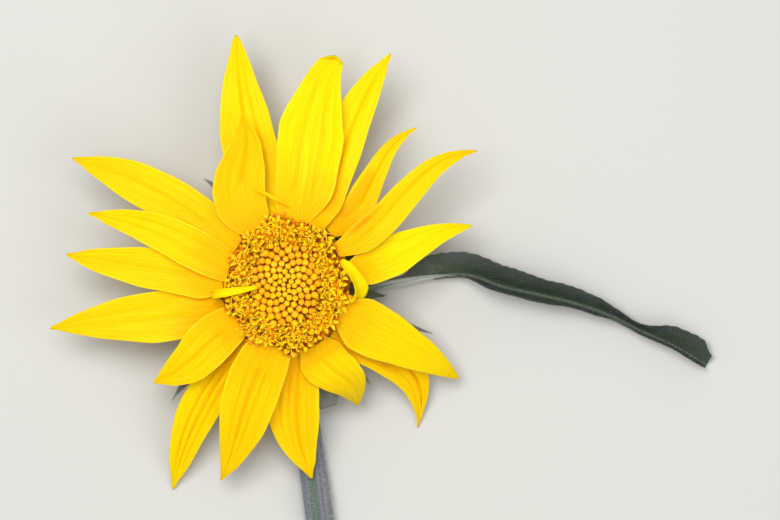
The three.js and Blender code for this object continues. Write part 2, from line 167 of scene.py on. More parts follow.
# Leaf. Its side veins leave the midrib at even steps and slant towards its tip.
STALK_RADIUS_AT_STEM = 1.9
STALK_RADIUS_AT_BLADE = 1.5
STALK_RADIUS_AT_END = 0.25
LEAF_THICKNESS = 0.7
LEAF_KEEL_RADIUS = 1
LEAF_VEIN_STEP = 8.5
LEAF_VEIN_SLANT = 0.85
STALK_HAIRS = 900
STALK_HAIR_RADIUS = 0.045
LEAF_EDGE_HAIRS = 1500
LEAF_FACE_HAIRS = 4200
LEAF_HAIR_RADIUS = 0.022

# Nothing comes nearer to the floor than this.
FLOOR_CLEARANCE = 0.02

# Steps in which a path is drawn from station to station, and the even steps that it is kept in.
DRAWN_STEPS = 40
PATH_STEPS = 600

# Where the lamps point, and how high the rays lie for the camera. These are in metres.
LAMP_AIM = (0, 0, 0.03)
HEAD_HEIGHT = 0.034
CAMERA_DISTANCE = 4
FLOOR_HALF = 1.5

# Rays clockwise from the top, with the same fields as in the part's source. gold is how far a ray's
# yellow goes from lemon to golden, and pale how much of that its claw already has. folds are its
# lengthwise creases, darkened with painted shade: where across it, how deep, how wide, and from
# where to where along it. The shade strips are painted shadow that neighbouring rays cast, given
# the same way. gap is how much narrower its left and right halves are at the rim, claw its width
# there, tip_width its width at the tip and pinch how much that is drawn in.
RAYS = [
    dict(rim=99, tip=101.4, out=84, near=6.5, far=3, width=18.5, widest=0.38, full=1.6,
         layer=2, fall=2, curl=2, trough=0.8, tip_width=1.6, pinch=0.05, gold=0.35, pale=0.4,
         folds=[(0.02, 1.0, 0.06, 0.3, 1.0), (0.1, 0.4, 0.2, 0.35, 1.0), (0.42, 0.8, 0.06, 0.2, 0.88)]),
    dict(rim=80, tip=78, out=77, near=-1.7, far=5.9, width=21.7, widest=0.52, full=1.05,
         layer=0, fall=-3, curl=1.5, trough=2, end=7, gold=0.2, gap=(0, 0.3),
         folds=[(-0.28, 0.6, 0.12, 0.05, 0.9), (0.3, 0.6, 0.13, 0.05, 0.95), (0.62, 0.4, 0.1, 0.1, 0.8)]),
    dict(rim=61, tip=65.6, out=83.6, near=2.4, far=5, width=13.4, widest=0.4, full=2.2,
         layer=1, fall=2, curl=2, trough=1, gold=0.3, gap=(0.25, 0.35),
         painted_shades=[(0.3, 0.9, 0.6, 0.0, 0.22)], folds=[(0.05, 0.7, 0.14, 0.1, 0.95)]),
    dict(rim=47, tip=50.2, out=67.2, near=-6.4, far=7.5, width=10, widest=0.36, full=1.1,
         layer=2, fall=2, curl=2, trough=0.8, gold=0.7, gap=(0.45, 0.45),
         painted_shades=[(-0.4, 1.15, 0.4, 0.05, 0.6)], folds=[(0.05, 0.9, 0.12, 0.2, 0.95)]),
    dict(rim=31, tip=34.9, out=76.9, near=-5.6, far=10.5, width=10.45, widest=0.34, full=1.7,
         layer=0, fall=2, curl=2, trough=1.2, gold=0.8, gap=(0.35, 0.45),
         painted_shades=[(-0.75, 1.35, 0.28, 0.0, 0.36)], folds=[(-0.15, 0.7, 0.14, 0.05, 0.95)]),
    dict(rim=10, tip=17.3, out=64.6, near=-2.2, far=4.15, width=13, widest=0.37, full=1.25,
         layer=1, fall=9, curl=1.8, trough=1, gold=0.15, gap=(0.45, 0.4),
         folds=[(0.1, 0.4, 0.18, 0.1, 0.9)]),
    dict(rim=-25, tip=-28.8, out=65, near=-1.2, far=2, width=18.1, widest=0.2, full=1.7,
         layer=0, fall=24, curl=1.7, trough=-1.2, tip_width=1.4, pinch=0.1, gold=0.5, gap=(0.35, 0.3),
         folds=[(0.05, 0.35, 0.12, 0.1, 0.9), (-0.4, 0.3, 0.1, 0.1, 0.8)]),
    dict(rim=-42, tip=-47.7, out=64.6, near=3.6, far=20.2, width=13.7, widest=0.43, full=1.9,
         layer=2, fall=25.8, curl=1.4, trough=0.8, gold=0.9, gap=(0.3, 0.4),
         painted_shades=[(0.2, 1.35, 0.5, 0.05, 0.6)],
         folds=[(-0.1, 1.2, 0.12, 0.45, 0.97), (0.42, 0.5, 0.12, 0.5, 0.9)]),
    dict(rim=-60, tip=-59.6, out=46.7, near=-5.3, far=6, width=16.4, widest=0.35, full=1.7,
         layer=1, fall=20, curl=3, trough=-1, claw=8, tip_width=1.8, pinch=0.2, gold=0.7, gap=(0.4, 0.1),
         folds=[(-0.45, 0.5, 0.09, 0.05, 0.85), (-0.05, 0.7, 0.1, 0.05, 0.95), (0.35, 0.5, 0.1, 0.05, 0.85)]),
    dict(rim=-79, tip=-82.6, out=65.2, near=-4.9, far=-5, width=17, widest=0.45, full=1.7,
         layer=2, fall=15, curl=1.3, trough=0.8, claw=8, gold=1.0, folds=[
             (-0.5, 0.5, 0.09, 0.1, 0.9), (-0.12, 1.0, 0.1, 0.05, 0.97),
             (0.22, 0.7, 0.09, 0.1, 0.95), (0.55, 0.5, 0.09, 0.2, 0.9),
         ]),
    dict(rim=-105, tip=-108.5, out=68.8, near=-3.2, far=2.35, width=18.6, widest=0.33, full=1.6,
         layer=0, fall=20, curl=1.7, trough=1.4, claw=11, gold=0.85, folds=[
             (-0.55, 0.5, 0.08, 0.1, 0.85), (-0.22, 0.8, 0.09, 0.05, 0.92),
             (0.08, 1.0, 0.1, 0.05, 0.97), (0.4, 0.7, 0.09, 0.1, 0.9),
         ]),
    dict(rim=-128, tip=-119, out=78.2, near=-4.7, far=-5.5, width=13.7, widest=0.42, full=1.9,
         layer=2, fall=25.8, curl=1.6, trough=0.8, gold=0.45,
         folds=[(-0.45, 0.8, 0.1, 0.15, 0.92), (-0.1, 1.0, 0.1, 0.15, 0.97), (0.3, 0.9, 0.1, 0.15, 0.95)]),
    dict(rim=-145, tip=-143.5, out=54.8, near=-1.3, far=4.8, width=15.8, widest=0.36, full=1.8,
         layer=0, fall=10, curl=2, trough=1.4, gold=0.9,
         folds=[(-0.4, 0.4, 0.1, 0.1, 0.85), (0.02, 0.8, 0.1, 0.05, 0.96), (0.48, 0.45, 0.09, 0.1, 0.85)]),
    dict(rim=-161, tip=-169.4, out=79.7, near=1.6, far=-0.8, width=17, widest=0.43, full=1.4,
         layer=2, fall=6, curl=1.6, trough=0.8, gold=0.8, gap=(0.1, 0.45),
         folds=[(-0.1, 0.5, 0.12, 0.1, 0.95), (0.35, 0.4, 0.12, 0.2, 0.9)]),
    dict(rim=-178, tip=172.4, out=73.5, near=-3.2, far=0, width=13.7, widest=0.34, full=2.1,
         layer=1, fall=4, curl=1.6, trough=0.8, gold=0.75, gap=(0.45, 0.1),
         folds=[(0.1, 0.5, 0.16, 0.1, 0.95)]),
    dict(rim=165, tip=160.4, out=69.5, near=-3.1, far=-4.15, width=13.35, widest=0.31, full=1.6,
         layer=0, fall=1, curl=1.6, trough=1.4, claw=8, gold=0.7,
         folds=[(-0.1, 0.5, 0.15, 0.05, 0.95), (0.4, 0.4, 0.12, 0.1, 0.85)]),
    dict(rim=145, tip=149.5, out=82.1, near=-3.7, far=-4.5, width=14.9, widest=0.45, full=1.9,
         layer=1, fall=1, curl=1.6, trough=0.8, gold=0.75, gap=(0.1, 0.35),
         folds=[(0.0, 0.6, 0.13, 0.1, 1.0), (-0.4, 0.35, 0.1, 0.2, 0.9)]),
    dict(rim=123, tip=104.9, out=57, near=7.5, far=-2.5, width=17.4, widest=0.36, full=1.8,
         layer=0, fall=-4, curl=1.6, trough=2, claw=9.5, gold=1.35, gap=(0.4, 0),
         folds=[(0.1, 0.9, 0.12, 0.3, 0.98), (-0.35, 0.5, 0.12, 0.1, 0.85)]),
]

# Three stunted rays: narrow curled strips through stations of direction, distance and height.
# shares are what they have of their width, at even steps along them.
SMALL_RAYS = [
    dict(width=6.2, gold=0.0, shares=[1, 1.25, 1.25, 1.0, 0.8, 0.7, 0.66, 0.3], path=[
        (-13, 22.5, 32.5), (-11, 24, 33), (-5, 25.2, 35.4), (4, 24, 38.2), (13, 22, 40.6), (21, 20.4, 41.4),
    ]),
    dict(width=2.7, gold=0.1, path=[
        (187.5, 22.4, 32.4), (187.5, 24, 32.8), (187.5, 25.6, 37), (187.5, 22, 41.6), (186, 10, 41.4),
    ]),
    dict(width=1.5, gold=0.6, path=[
        (85, 22.4, 32.6), (86.5, 24, 33), (96, 26.6, 36), (106, 30.4, 36.6), (111, 32.6, 37),
    ]),
]
SMALL_RAY_SHARES = [0.8, 0.92, 0.97, 1, 0.97, 0.85, 0.62, 0.3]

# Bracts that stand apart from the even rows, by their number in the row. bow is a pull on a
# bract's middle line, full how broad it stays towards its tip, end the share of its width that the
# tip keeps, and downy how grey it is.
UNEVEN_INNER_BRACTS = {
    0: dict(degrees=-18.8, reach=51, width=7),
    1: dict(degrees=-50, reach=43.5),
    2: dict(degrees=-98, reach=41),
    3: dict(degrees=-134.5, reach=54, bow=-3),
    6: dict(degrees=128, reach=44, bow=-3),
}
UNEVEN_OUTER_BRACTS = {
    0: dict(degrees=-7, reach=33, downy=0.2),
    2: dict(degrees=63, reach=32, fall=PROP_FALL),
    4: dict(degrees=127, reach=32, fall=PROP_FALL),
    9: dict(degrees=-71, reach=43.2, fall=8.6, width=13.5, full=3.6, end=0.4, downy=0.9),
}

STALK_STATIONS = [
    (7.5, -16, 6.2), (12, -12, 6.4), (19, -6, 6.8), (28, -1.8, 6.9), (34, -0.2, 6.6), (38.1, 0.5, 6.3),
]
KEEL_STATIONS = [
    (38.4, 0.6, 6.2), (48, 2.4, 4.2), (60, 3, 2), (72.3, -1, 0.9), (85.5, -3.9, 0.8),
    (97, -6.8, 0.8), (108.6, -11, 0.8), (117, -15.3, 0.9), (128.4, -20.3, 0.9), (139.6, -26.9, 0.8),
]

# Share of the leaf's length, width of each half, and how far each half leans out from upright. Its
# wing is where the blade runs down the stalk, and narrows to a share of its width.
LEAF_WING = [(28, -1.8, 6.9), (34, -0.2, 6.6)]
LEAF_WING_SHARE = 0.4
LEAF_SHARE = [0, 0.08, 0.16, 0.3, 0.47, 0.6, 0.74, 0.88, 0.95, 1]
LEAF_FAR_HALF = [2.2, 8.8, 12.4, 14, 12, 9.5, 6.5, 8, 7.6, 4.6]
LEAF_NEAR_HALF = [0.6, 0.7, 3, 14, 12, 9.5, 6.5, 8, 7.6, 4.6]
LEAF_FAR_LEAN = [60, 50, 34, 27, 24, 25, 10, 46, 60, 50]
LEAF_NEAR_LEAN = [10, 0, 0, 6, 8, 4, 0, 4, 2, 2]


# Shader maths

class Value:
    """A number that changes over a surface. Sums of values add Math nodes to the finish."""

    def __init__(self, finish, socket):
        self.finish = finish
        self.socket = socket

    def maths(self, operation, first, second=0.0):
        """What a Math node makes of one or two values or numbers."""
        made = self.finish.node("ShaderNodeMath", {"operation": operation}, {0: first, 1: second})
        return Value(self.finish, made.outputs[0])

    def __add__(self, other):
        return self.maths("ADD", self, other)

    def __radd__(self, other):
        return self.maths("ADD", other, self)

    def __sub__(self, other):
        return self.maths("SUBTRACT", self, other)

    def __rsub__(self, other):
        return self.maths("SUBTRACT", other, self)

    def __mul__(self, other):
        return self.maths("MULTIPLY", self, other)

    def __rmul__(self, other):
        return self.maths("MULTIPLY", other, self)

    def __truediv__(self, other):
        return self.maths("DIVIDE", self, other)

    def __pow__(self, other):
        return self.maths("POWER", self, other)

    def __abs__(self):
        return self.maths("ABSOLUTE", self)

    def sine(self):
        return self.maths("SINE", self)

    def fraction(self):
        return self.maths("FRACT", self)

    def between(self, start, end):
        """0 below start, 1 above end, and eased between them."""
        settings = {"interpolation_type": "SMOOTHSTEP"}
        values = {"Value": self, 1: start, 2: end, 3: 0.0, 4: 1.0}
        made = self.finish.node("ShaderNodeMapRange", settings, values)
        return Value(self.finish, made.outputs[0])


class Finish:
    """One material: a Principled shader and what drives its colour, roughness and relief."""

    def __init__(self, name, **constants):
        self.material = bpy.data.materials.new(name)
        self.material.use_nodes = True
        self.tree = self.material.node_tree
        self.shader = self.tree.nodes["Principled BSDF"]
        for socket, value in constants.items():
            socket = socket.replace("_", " ").title().replace("Ior", "IOR")
            self.shader.inputs[socket].default_value = value

    def node(self, kind, settings=None, values=None):
        """A node of that kind: its settings first, and then its sockets' values or links."""
        made = self.tree.nodes.new(kind)
        for setting, value in (settings or {}).items():
            setattr(made, setting, value)
        for socket, value in (values or {}).items():
            if isinstance(value, Value):
                value = value.socket
            if isinstance(value, bpy.types.NodeSocket):
                self.tree.links.new(value, made.inputs[socket])
            else:
                made.inputs[socket].default_value = value
        return made

    def mark(self, name):
        """A number that the mesh carries at each of its points."""
        return Value(self, self.node("ShaderNodeAttribute", {"attribute_name": name}).outputs["Fac"])

    def spot(self, name):
        """A place that the mesh carries at each of its points, in millimetres."""
        return self.node("ShaderNodeAttribute", {"attribute_name": name}).outputs["Vector"]

    def place(self):
        """Where the surface is, in millimetres."""
        here = self.node("ShaderNodeTexCoord").outputs["Object"]
        scaled = self.node("ShaderNodeVectorMath", {"operation": "SCALE"}, {0: here, "Scale": 1 / MM})
        return scaled.outputs[0]

    def stretched(self, place, x, y):
        """A place scaled across and along, so that what is drawn there becomes longer."""
        made = self.node("ShaderNodeVectorMath", {"operation": "MULTIPLY"}, {0: place, 1: (x, y, 1.0)})
        return made.outputs[0]

    def noise(self, place, scale, detail=3.0, roughness=0.5):
        """Cloudy unevenness from 0 to 1."""
        values = {"Vector": place, "Scale": scale, "Detail": detail, "Roughness": roughness}
        return Value(self, self.node("ShaderNodeTexNoise", None, values).outputs["Fac"])

    def cells(self, place, scale):
        """How far the nearest of many scattered dots is."""
        values = {"Vector": place, "Scale": scale}
        return Value(self, self.node("ShaderNodeTexVoronoi", None, values).outputs["Distance"])

    def mix(self, share, first, second):
        """first where share is 0 and second where it is 1. Both are colours."""
        sockets = {"Factor": share, 6: self.colour(first), 7: self.colour(second)}
        made = self.node("ShaderNodeMix", {"data_type": "RGBA"}, sockets)
        return made.outputs[2]

    @staticmethod
    def colour(value):
        return (*value, 1) if isinstance(value, tuple) else value

    def paint(self, colour):
        self.tree.links.new(colour, self.shader.inputs["Base Color"])

    def roughen(self, value):
        self.tree.links.new(value.socket, self.shader.inputs["Roughness"])

    def emboss(self, height, depth):
        """Relief of that depth in millimetres where height goes from 0 to 1."""
        made = self.node("ShaderNodeBump", None, {"Height": height, "Strength": 1.0, "Distance": depth * MM})
        self.tree.links.new(made.outputs[0], self.shader.inputs["Normal"])


def rgb(red, green, blue):
    """A colour as a screen shows it, in the renderer's linear light."""
    shown = np.array([red, green, blue]) / 255
    linear = np.where(shown <= 0.04045, shown / 12.92, ((shown + 0.055) / 1.055) ** 2.4)
    return tuple(float(value) for value in linear)


# Finishes

def ray_finish(name, tip):
    """A ray's yellow: orange gold at the claw, lemon or golden outwards, lengthwise veins, and painted shade
    in its folds and shade strips.
    """
    softness = dict(subsurface_weight=0.15, subsurface_scale=0.0015)
    finish = Finish(name, roughness=0.5, specular_ior_level=0.06, **softness)
    along = finish.mark("along")
    across = finish.mark("across")
    painted_crease_shade = finish.mark("painted_crease_shade")
    strand = finish.spot("strand")
    streak = finish.noise(finish.stretched(strand, 1.0, 0.06), 1.3, 4.0, 0.6)
    fine = finish.noise(finish.stretched(strand, 1.0, 0.03), 3.4, 3.0, 0.6)
    lines = finish.noise(finish.stretched(strand, 1.0, 0.022), 0.95, 2.0, 0.55)
    threads = 1 - abs(lines - 0.5).between(0.0, 0.05)
    blotch = finish.noise(strand, 0.09, 2.0)
    wander = finish.noise(finish.stretched(strand, 0.5, 0.05), 0.5, 2.0)
    veins = ((across * 30 + wander * 14).sine() * 0.5 + 0.5) ** 4
    near_claw = 1 - along.between(0.05, 0.6)
    gold = finish.mark("gold")
    outer = finish.mix(gold.between(-0.3, 1.4), rgb(253, 226, 0), rgb(252, 196, 0))
    outward = (along + (blotch - 0.5) * 0.3).between(0.0, 0.42)
    yellow = finish.mix(outward, rgb(255, 188, 0), outer)
    yellow = finish.mix(streak.between(0.42, 0.78) * 0.3, yellow, rgb(255, 198, 0))
    yellow = finish.mix(fine.between(0.55, 0.75) * 0.25, yellow, rgb(255, 244, 40))
    yellow = finish.mix(veins * near_claw * 0.16, yellow, rgb(242, 166, 0))
    yellow = finish.mix(threads * (0.22 + near_claw * 0.18), yellow, rgb(244, 172, 0))
    # Painted shade in the folds and shade strips: orange, and brown where deepest.
    yellow = finish.mix(painted_crease_shade.between(0.3, 1.0) * 0.5, yellow, rgb(238, 160, 0))
    yellow = finish.mix(painted_crease_shade.between(1.0, 1.6) * 0.6, yellow, rgb(190, 124, 0))
    pale_edge = abs(across).between(0.88, 1.0) * 0.3
    yellow = finish.mix(pale_edge, yellow, rgb(255, 240, 50))
    dry_tip = along.between(0.99, 1.0) * 0.3
    finish.paint(finish.mix(dry_tip, yellow, tip))
    finish.roughen(0.42 + streak * 0.2)
    finish.emboss(streak * 0.5 + fine * 0.25 - threads * 0.25 + veins * 0.12, 0.16)
    return finish.material


def floret_finish(name, light, deep, relief, side=None):
    """A floret's gold, a little uneven, with painted shade in its side colour, if it has one, towards a bud's
    side or into the ring's depths.
    """
    softness = dict(subsurface_weight=0.25, subsurface_scale=0.001)
    finish = Finish(name, roughness=0.5, specular_ior_level=0.15, **softness)
    place = finish.place()
    grain = finish.noise(place, 1.1, 3.0)
    gold = finish.mix(grain.between(0.35, 0.7), light, deep)
    if side:
        # Painted shade: the side mark says how near a point is to a bud's side or how deep it lies in the
        # ring.
        gold = finish.mix((finish.mark("side") + grain * 0.3).between(0.25, 1.1), gold, side)
    finish.paint(gold)
    finish.emboss(finish.noise(place, 5.0, 2.0), relief)
    return finish.material


def dark_finish(name, light, deep, roughness):
    """Anthers, chaff and the disc's floor between the florets."""
    finish = Finish(name, roughness=roughness, specular_ior_level=0.12)
    place = finish.place()
    grain = finish.noise(place, 2.2, 4.0, 0.65)
    finish.paint(finish.mix(grain.between(0.35, 0.65), light, deep))
    finish.emboss(grain, 0.15)
    return finish.material


def leaf_finish():
    """The blade: dark grey-green, paler along side veins and midrib, with a painted glint on the midrib,
    bluish towards its edge.
    """
    finish = Finish("leaf_green", roughness=0.7, specular_ior_level=0.08)
    across = finish.mark("across")
    along = finish.mark("run")
    out = abs(finish.mark("reach"))
    strand = finish.spot("strand")
    wander = finish.noise(strand, 0.12, 2.0)
    vein_run = along - out * LEAF_VEIN_SLANT + wander * 3
    vein = abs((vein_run / LEAF_VEIN_STEP).fraction() - 0.5) * 2
    side_vein = (1 - vein.between(0.03, 0.13)) * (1 - abs(across).between(0.75, 1.0))
    net = 1 - finish.cells(strand, 0.55).between(0.1, 0.45)
    near_stalk = 1 - along.between(0, 26)
    midrib = 1 - out.between(0.1, 0.42 + near_stalk * 1.7)
    mottle = finish.noise(strand, 0.35, 4.0, 0.6)
    # A painted glint: broken pale spots along the midrib.
    glint = finish.noise(strand, 0.7, 3.0, 0.6).between(0.42, 0.62) * 0.75 + 0.08
    green = finish.mix(mottle.between(0.3, 0.7), rgb(32, 54, 16), rgb(54, 76, 28))
    # Greyer and bluer towards the edge and over the near half.
    edge_grey = (abs(across) + (wander - 0.5) * 0.7).between(0.45, 0.8)
    edge_grey = edge_grey + (1 - edge_grey) * (1 - across.between(-0.45, -0.1)) * 0.8
    green = finish.mix(edge_grey * 0.9, green, rgb(64, 69, 72))
    down = finish.noise(strand, 1.3, 4.0, 0.85).between(0.5, 0.57)
    green = finish.mix(down * (0.18 + edge_grey * 0.3), green, rgb(98, 104, 104))
    scar = along.between(7, 10) * (1 - along.between(13, 17)) * out.between(1, 2) * (1 - out.between(4, 7))
    green = finish.mix(scar * mottle.between(0.35, 0.55) * 0.7, green, rgb(106, 102, 84))
    green = finish.mix((1 - finish.mark("upper")) * 0.5, green, rgb(94, 104, 94))
    green = finish.mix(net * 0.08, green, rgb(74, 88, 74))
    green = finish.mix(side_vein * 0.2, green, rgb(80, 90, 82))
    green = finish.mix(along.between(78, 96) * 0.45, green, rgb(34, 44, 34))
    # The midrib: paler, partly its own colour near the stalk, partly the painted glint.
    finish.paint(finish.mix(midrib * (glint + near_stalk * 0.3), green, rgb(124, 128, 124)))
    finish.roughen(0.5 + mottle * 0.25)
    finish.emboss(mottle * 0.45 + side_vein * 0.35 + net * 0.2, 0.16)
    return finish.material


def bract_finish():
    """A bract: mid green with lengthwise veins, grey with fine hairs towards its edges and tip."""
    finish = Finish("bract_green", roughness=0.7, specular_ior_level=0.25)
    across = finish.mark("across")
    along = finish.mark("along")
    strand = finish.spot("strand")
    streak = finish.noise(finish.stretched(strand, 1.0, 0.12), 1.4, 4.0, 0.6)
    veins = ((across * 16 + streak * 2).sine() * 0.5 + 0.5) ** 4
    green = finish.mix(streak.between(0.3, 0.7), rgb(62, 76, 40), rgb(92, 100, 60))
    green = finish.mix(veins * 0.35, green, rgb(124, 132, 96))
    grey = (abs(across) * 0.5 + along).between(0.35, 1.1) * 0.9 * finish.mark("downy")
    green = finish.mix(grey, green, rgb(132, 131, 128))
    tip = along.between(0.9, 1.0) * finish.mark("downy").between(0.92, 1.0)
    finish.paint(finish.mix(tip * 0.6, green, rgb(190, 188, 178)))
    finish.emboss(veins * 0.5 + streak * 0.5, 0.18)
    return finish.material


def stem_finish(name, deep, light, downy, pale_lit=None, band=None):
    """A stem's skin: grey-green with pale lengthwise ribs, furrows and down. The last two are the
    colour of a pale strip, partly the skin's own and partly painted light, and that of a strip along
    its upper side."""
    finish = Finish(name, roughness=0.75, specular_ior_level=0.2)
    rib = finish.mark("rib")
    strand = finish.spot("strand")
    streak = finish.noise(finish.stretched(strand, 1.0, 0.05), 1.6, 4.0, 0.6)
    speck = finish.noise(strand, 1.8, 3.0, 0.7)
    green = finish.mix(streak.between(0.3, 0.7), deep, light)
    green = finish.mix(rib.between(0.4, 1.0) * 0.4, green, downy)
    green = finish.mix(speck.between(0.5, 0.8) * 0.3, green, downy)
    # The pale strip: the skin's own paler colour, with painted light.
    if pale_lit:
        green = finish.mix(finish.mark("pale_lit") * streak.between(0.2, 0.6), green, pale_lit)
    if band:
        green = finish.mix(finish.mark("band") * streak.between(0.25, 0.6), green, band)
    finish.paint(green)
    finish.emboss(streak * 0.7 + speck * 0.3, 0.14)
    return finish.material


def pith_finish():
    """The cut face: pale pith with a ring of strands near the skin."""
    finish = Finish("cut_pith", roughness=0.8, specular_ior_level=0.2)
    out = finish.mark("rib")
    strand = finish.spot("strand")
    pores = finish.cells(strand, 2.4)
    ring = out.between(0.7, 0.78) * (1 - out.between(0.86, 0.94))
    pale = finish.mix(pores.between(0.1, 0.6), rgb(196, 206, 168), rgb(226, 230, 204))
    pale = finish.mix(ring * pores.between(0.2, 0.5), pale, rgb(120, 146, 90))
    finish.paint(finish.mix(out.between(0.92, 0.99), pale, rgb(112, 130, 96)))
    finish.emboss(pores, 0.2)
    return finish.material


def hair_finish():
    """The fine white hairs of the stem, bracts and leaf."""
    finish = Finish("white_hair", roughness=0.6, specular_ior_level=0.4)
    grain = finish.noise(finish.place(), 0.6, 2.0)
    finish.paint(finish.mix(grain.between(0.35, 0.65), rgb(176, 180, 178), rgb(206, 208, 208)))
    return finish.material


ray_yellow = ray_finish("ray_yellow", rgb(150, 92, 30))
small_ray_yellow = ray_finish("small_ray_yellow", rgb(255, 220, 20))
# Bud tops turn to their side colour with painted shade towards their sides.
bud_gold = floret_finish("bud_gold", rgb(242, 186, 0), rgb(232, 164, 0), 0.08, rgb(220, 142, 0))
bud_gold_light = floret_finish("bud_gold_light", rgb(252, 204, 2), rgb(246, 186, 0), 0.08, rgb(232, 156, 0))
# The buds' columns: partly their own deeper orange, partly painted shade in the gaps between buds.
bud_side_shaded = floret_finish("bud_side_shaded", rgb(206, 126, 0), rgb(172, 94, 0), 0.08)
ring_shade = rgb(240, 156, 6)
lobe_yellow = floret_finish("lobe_yellow", rgb(255, 220, 6), rgb(255, 200, 0), 0.06, ring_shade)
lobe_deep = floret_finish("lobe_deep", rgb(255, 208, 2), rgb(254, 186, 0), 0.06, ring_shade)
style_yellow = floret_finish("style_yellow", rgb(255, 219, 46), rgb(255, 196, 18), 0.05, ring_shade)
style_orange = floret_finish("style_orange", rgb(255, 196, 20), rgb(250, 166, 10), 0.05, ring_shade)
anther_brown = dark_finish("anther_brown", rgb(142, 62, 8), rgb(92, 34, 6), 0.55)
anther_orange = dark_finish("anther_orange", rgb(246, 176, 14), rgb(226, 140, 8), 0.55)
rim_brown = dark_finish("rim_brown", rgb(196, 120, 12), rgb(112, 62, 10), 0.85)
chaff_gold = dark_finish("chaff_gold", rgb(222, 160, 16), rgb(190, 126, 16), 0.75)
disc_floor_brown = dark_finish("disc_floor_brown", rgb(160, 94, 4), rgb(126, 68, 4), 0.85)
disc_floor_orange = dark_finish("disc_floor_orange", rgb(228, 146, 4), rgb(190, 104, 2), 0.85)
leaf_green = leaf_finish()
bract_green = bract_finish()
stem_green = stem_finish(
    "stem_green", rgb(92, 100, 100), rgb(118, 122, 130), rgb(150, 150, 162), band=rgb(82, 102, 84),
)
stalk_grey = stem_finish(
    "stalk_grey", rgb(92, 98, 84), rgb(122, 126, 116), rgb(150, 153, 147), pale_lit=rgb(196, 202, 200),
)
cut_pith = pith_finish()
white_hair = hair_finish()


# Meshes

def to_frame(points):
    """Points about the head in millimetres, as places in the frame."""
    return np.asarray(points) * MM + np.array([HEAD_X, HEAD_Y, 0.0])


def make_piece(name, points, faces, finishes, marks, slots=None):
    """A mesh piece. marks are numbers or places for each point, and slots a finish for each face."""
    mesh = bpy.data.meshes.new(name)
    mesh.from_pydata(to_frame(points).tolist(), [], [list(map(int, face)) for face in faces])
    for material in finishes:
        mesh.materials.append(material)
    for mark, values in marks.items():
        values = np.asarray(values, dtype=np.float32)
        kind, field = ("FLOAT", "value") if values.ndim == 1 else ("FLOAT_VECTOR", "vector")
        mesh.attributes.new(mark, kind, "POINT").data.foreach_set(field, values.ravel())
    if slots is not None:
        mesh.polygons.foreach_set("material_index", np.asarray(slots, dtype=np.int32))
    mesh.polygons.foreach_set("use_smooth", np.ones(len(mesh.polygons), dtype=bool))
    mesh.validate()
    mesh.update()
    piece = bpy.data.objects.new(name, mesh)
    bpy.context.scene.collection.objects.link(piece)
    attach(piece, "root")
    return piece


class Gathered:
    """Many small shapes joined into one piece, each with one of its finishes."""

    def __init__(self, *finishes):
        self.finishes = finishes
        self.points = []
        self.faces = []
        self.slots = []
        self.sides = []
        self.count = 0

    def add(self, points, faces, finish, side=0.0):
        """side is how much painted shade each point gets, from 0 to 1, such as how near it is to its shape's
        side.
        """
        slot = self.finishes.index(finish)
        for size in sorted({len(face) for face in faces}):
            block = np.array([face for face in faces if len(face) == size]) + self.count
            self.faces.extend(block.tolist())
            self.slots.extend([slot] * len(block))
        self.points.append(np.asarray(points, float))
        self.sides.append(np.broadcast_to(side, len(points)))
        self.count += len(points)

    def piece(self, name):
        marks = {"side": np.concatenate(self.sides)}
        return make_piece(name, np.concatenate(self.points), self.faces, self.finishes, marks, self.slots)


def grid_faces(rows, columns):
    """Quads of a grid, facing the side that its rows turn to anticlockwise."""
    row, column = np.divmod(np.arange((rows - 1) * (columns - 1)), columns - 1)
    corner = row * columns + column
    return np.stack([corner, corner + 1, corner + columns + 1, corner + columns], axis=1)


def grid_rim(rows, columns):
    """The points round a grid's edge, in turn."""
    first = list(range(columns))
    right = [row * columns + columns - 1 for row in range(1, rows)]
    last = [(rows - 1) * columns + column for column in range(columns - 2, -1, -1)]
    left = [row * columns for row in range(rows - 2, 0, -1)]
    return first + right + last + left


def tube_faces(rings, around):
    """Quads round a tube, ring after ring."""
    faces = []
    for ring in range(rings - 1):
        for step in range(around):
            here, there = ring * around + step, ring * around + (step + 1) % around
            faces.append((here, there, there + around, here + around))
    return faces


def cap_faces(first, around, middle, upward=True):
    """Triangles from a tube's end ring, whose first point is given, to the point in its middle."""
    faces = []
    for step in range(around):
        here, there = first + step, first + (step + 1) % around
        faces.append((here, there, middle) if upward else (there, here, middle))
    return faces


def on_both_skins(values):
    """Marks of a sheet's grid, for the points of both its skins."""
    flat = values.reshape(-1, *values.shape[2:])
    return np.concatenate([flat, flat])


def unit(vectors):
    """The same directions with a length of 1."""
    return vectors / np.maximum(np.linalg.norm(vectors, axis=-1, keepdims=True), 1e-9)


def grid_normals(middle):
    """Directions square to a grid of places, on the side that its top skin is on."""
    return unit(np.cross(np.gradient(middle, axis=1), np.gradient(middle, axis=0)))


def closed_sheet(middle, thickness):
    """Points and faces of a thin closed sheet about a grid of places."""
    rows, columns, _ = middle.shape
    offset = grid_normals(middle) * (thickness / 2)[..., None]
    points = np.concatenate([(middle + offset).reshape(-1, 3), (middle - offset).reshape(-1, 3)])
    top = grid_faces(rows, columns)
    under = top[:, ::-1] + rows * columns
    rim = np.array(grid_rim(rows, columns))
    following = np.roll(rim, -1)
    edge = np.stack([rim, rim + rows * columns, following + rows * columns, following], axis=1)
    return points, np.concatenate([top, under, edge])


def smoothstep(value, start, end):
    """0 below start, 1 above end, and eased between them."""
    share = np.clip((value - start) / (end - start), 0, 1)
    return share * share * (3 - 2 * share)


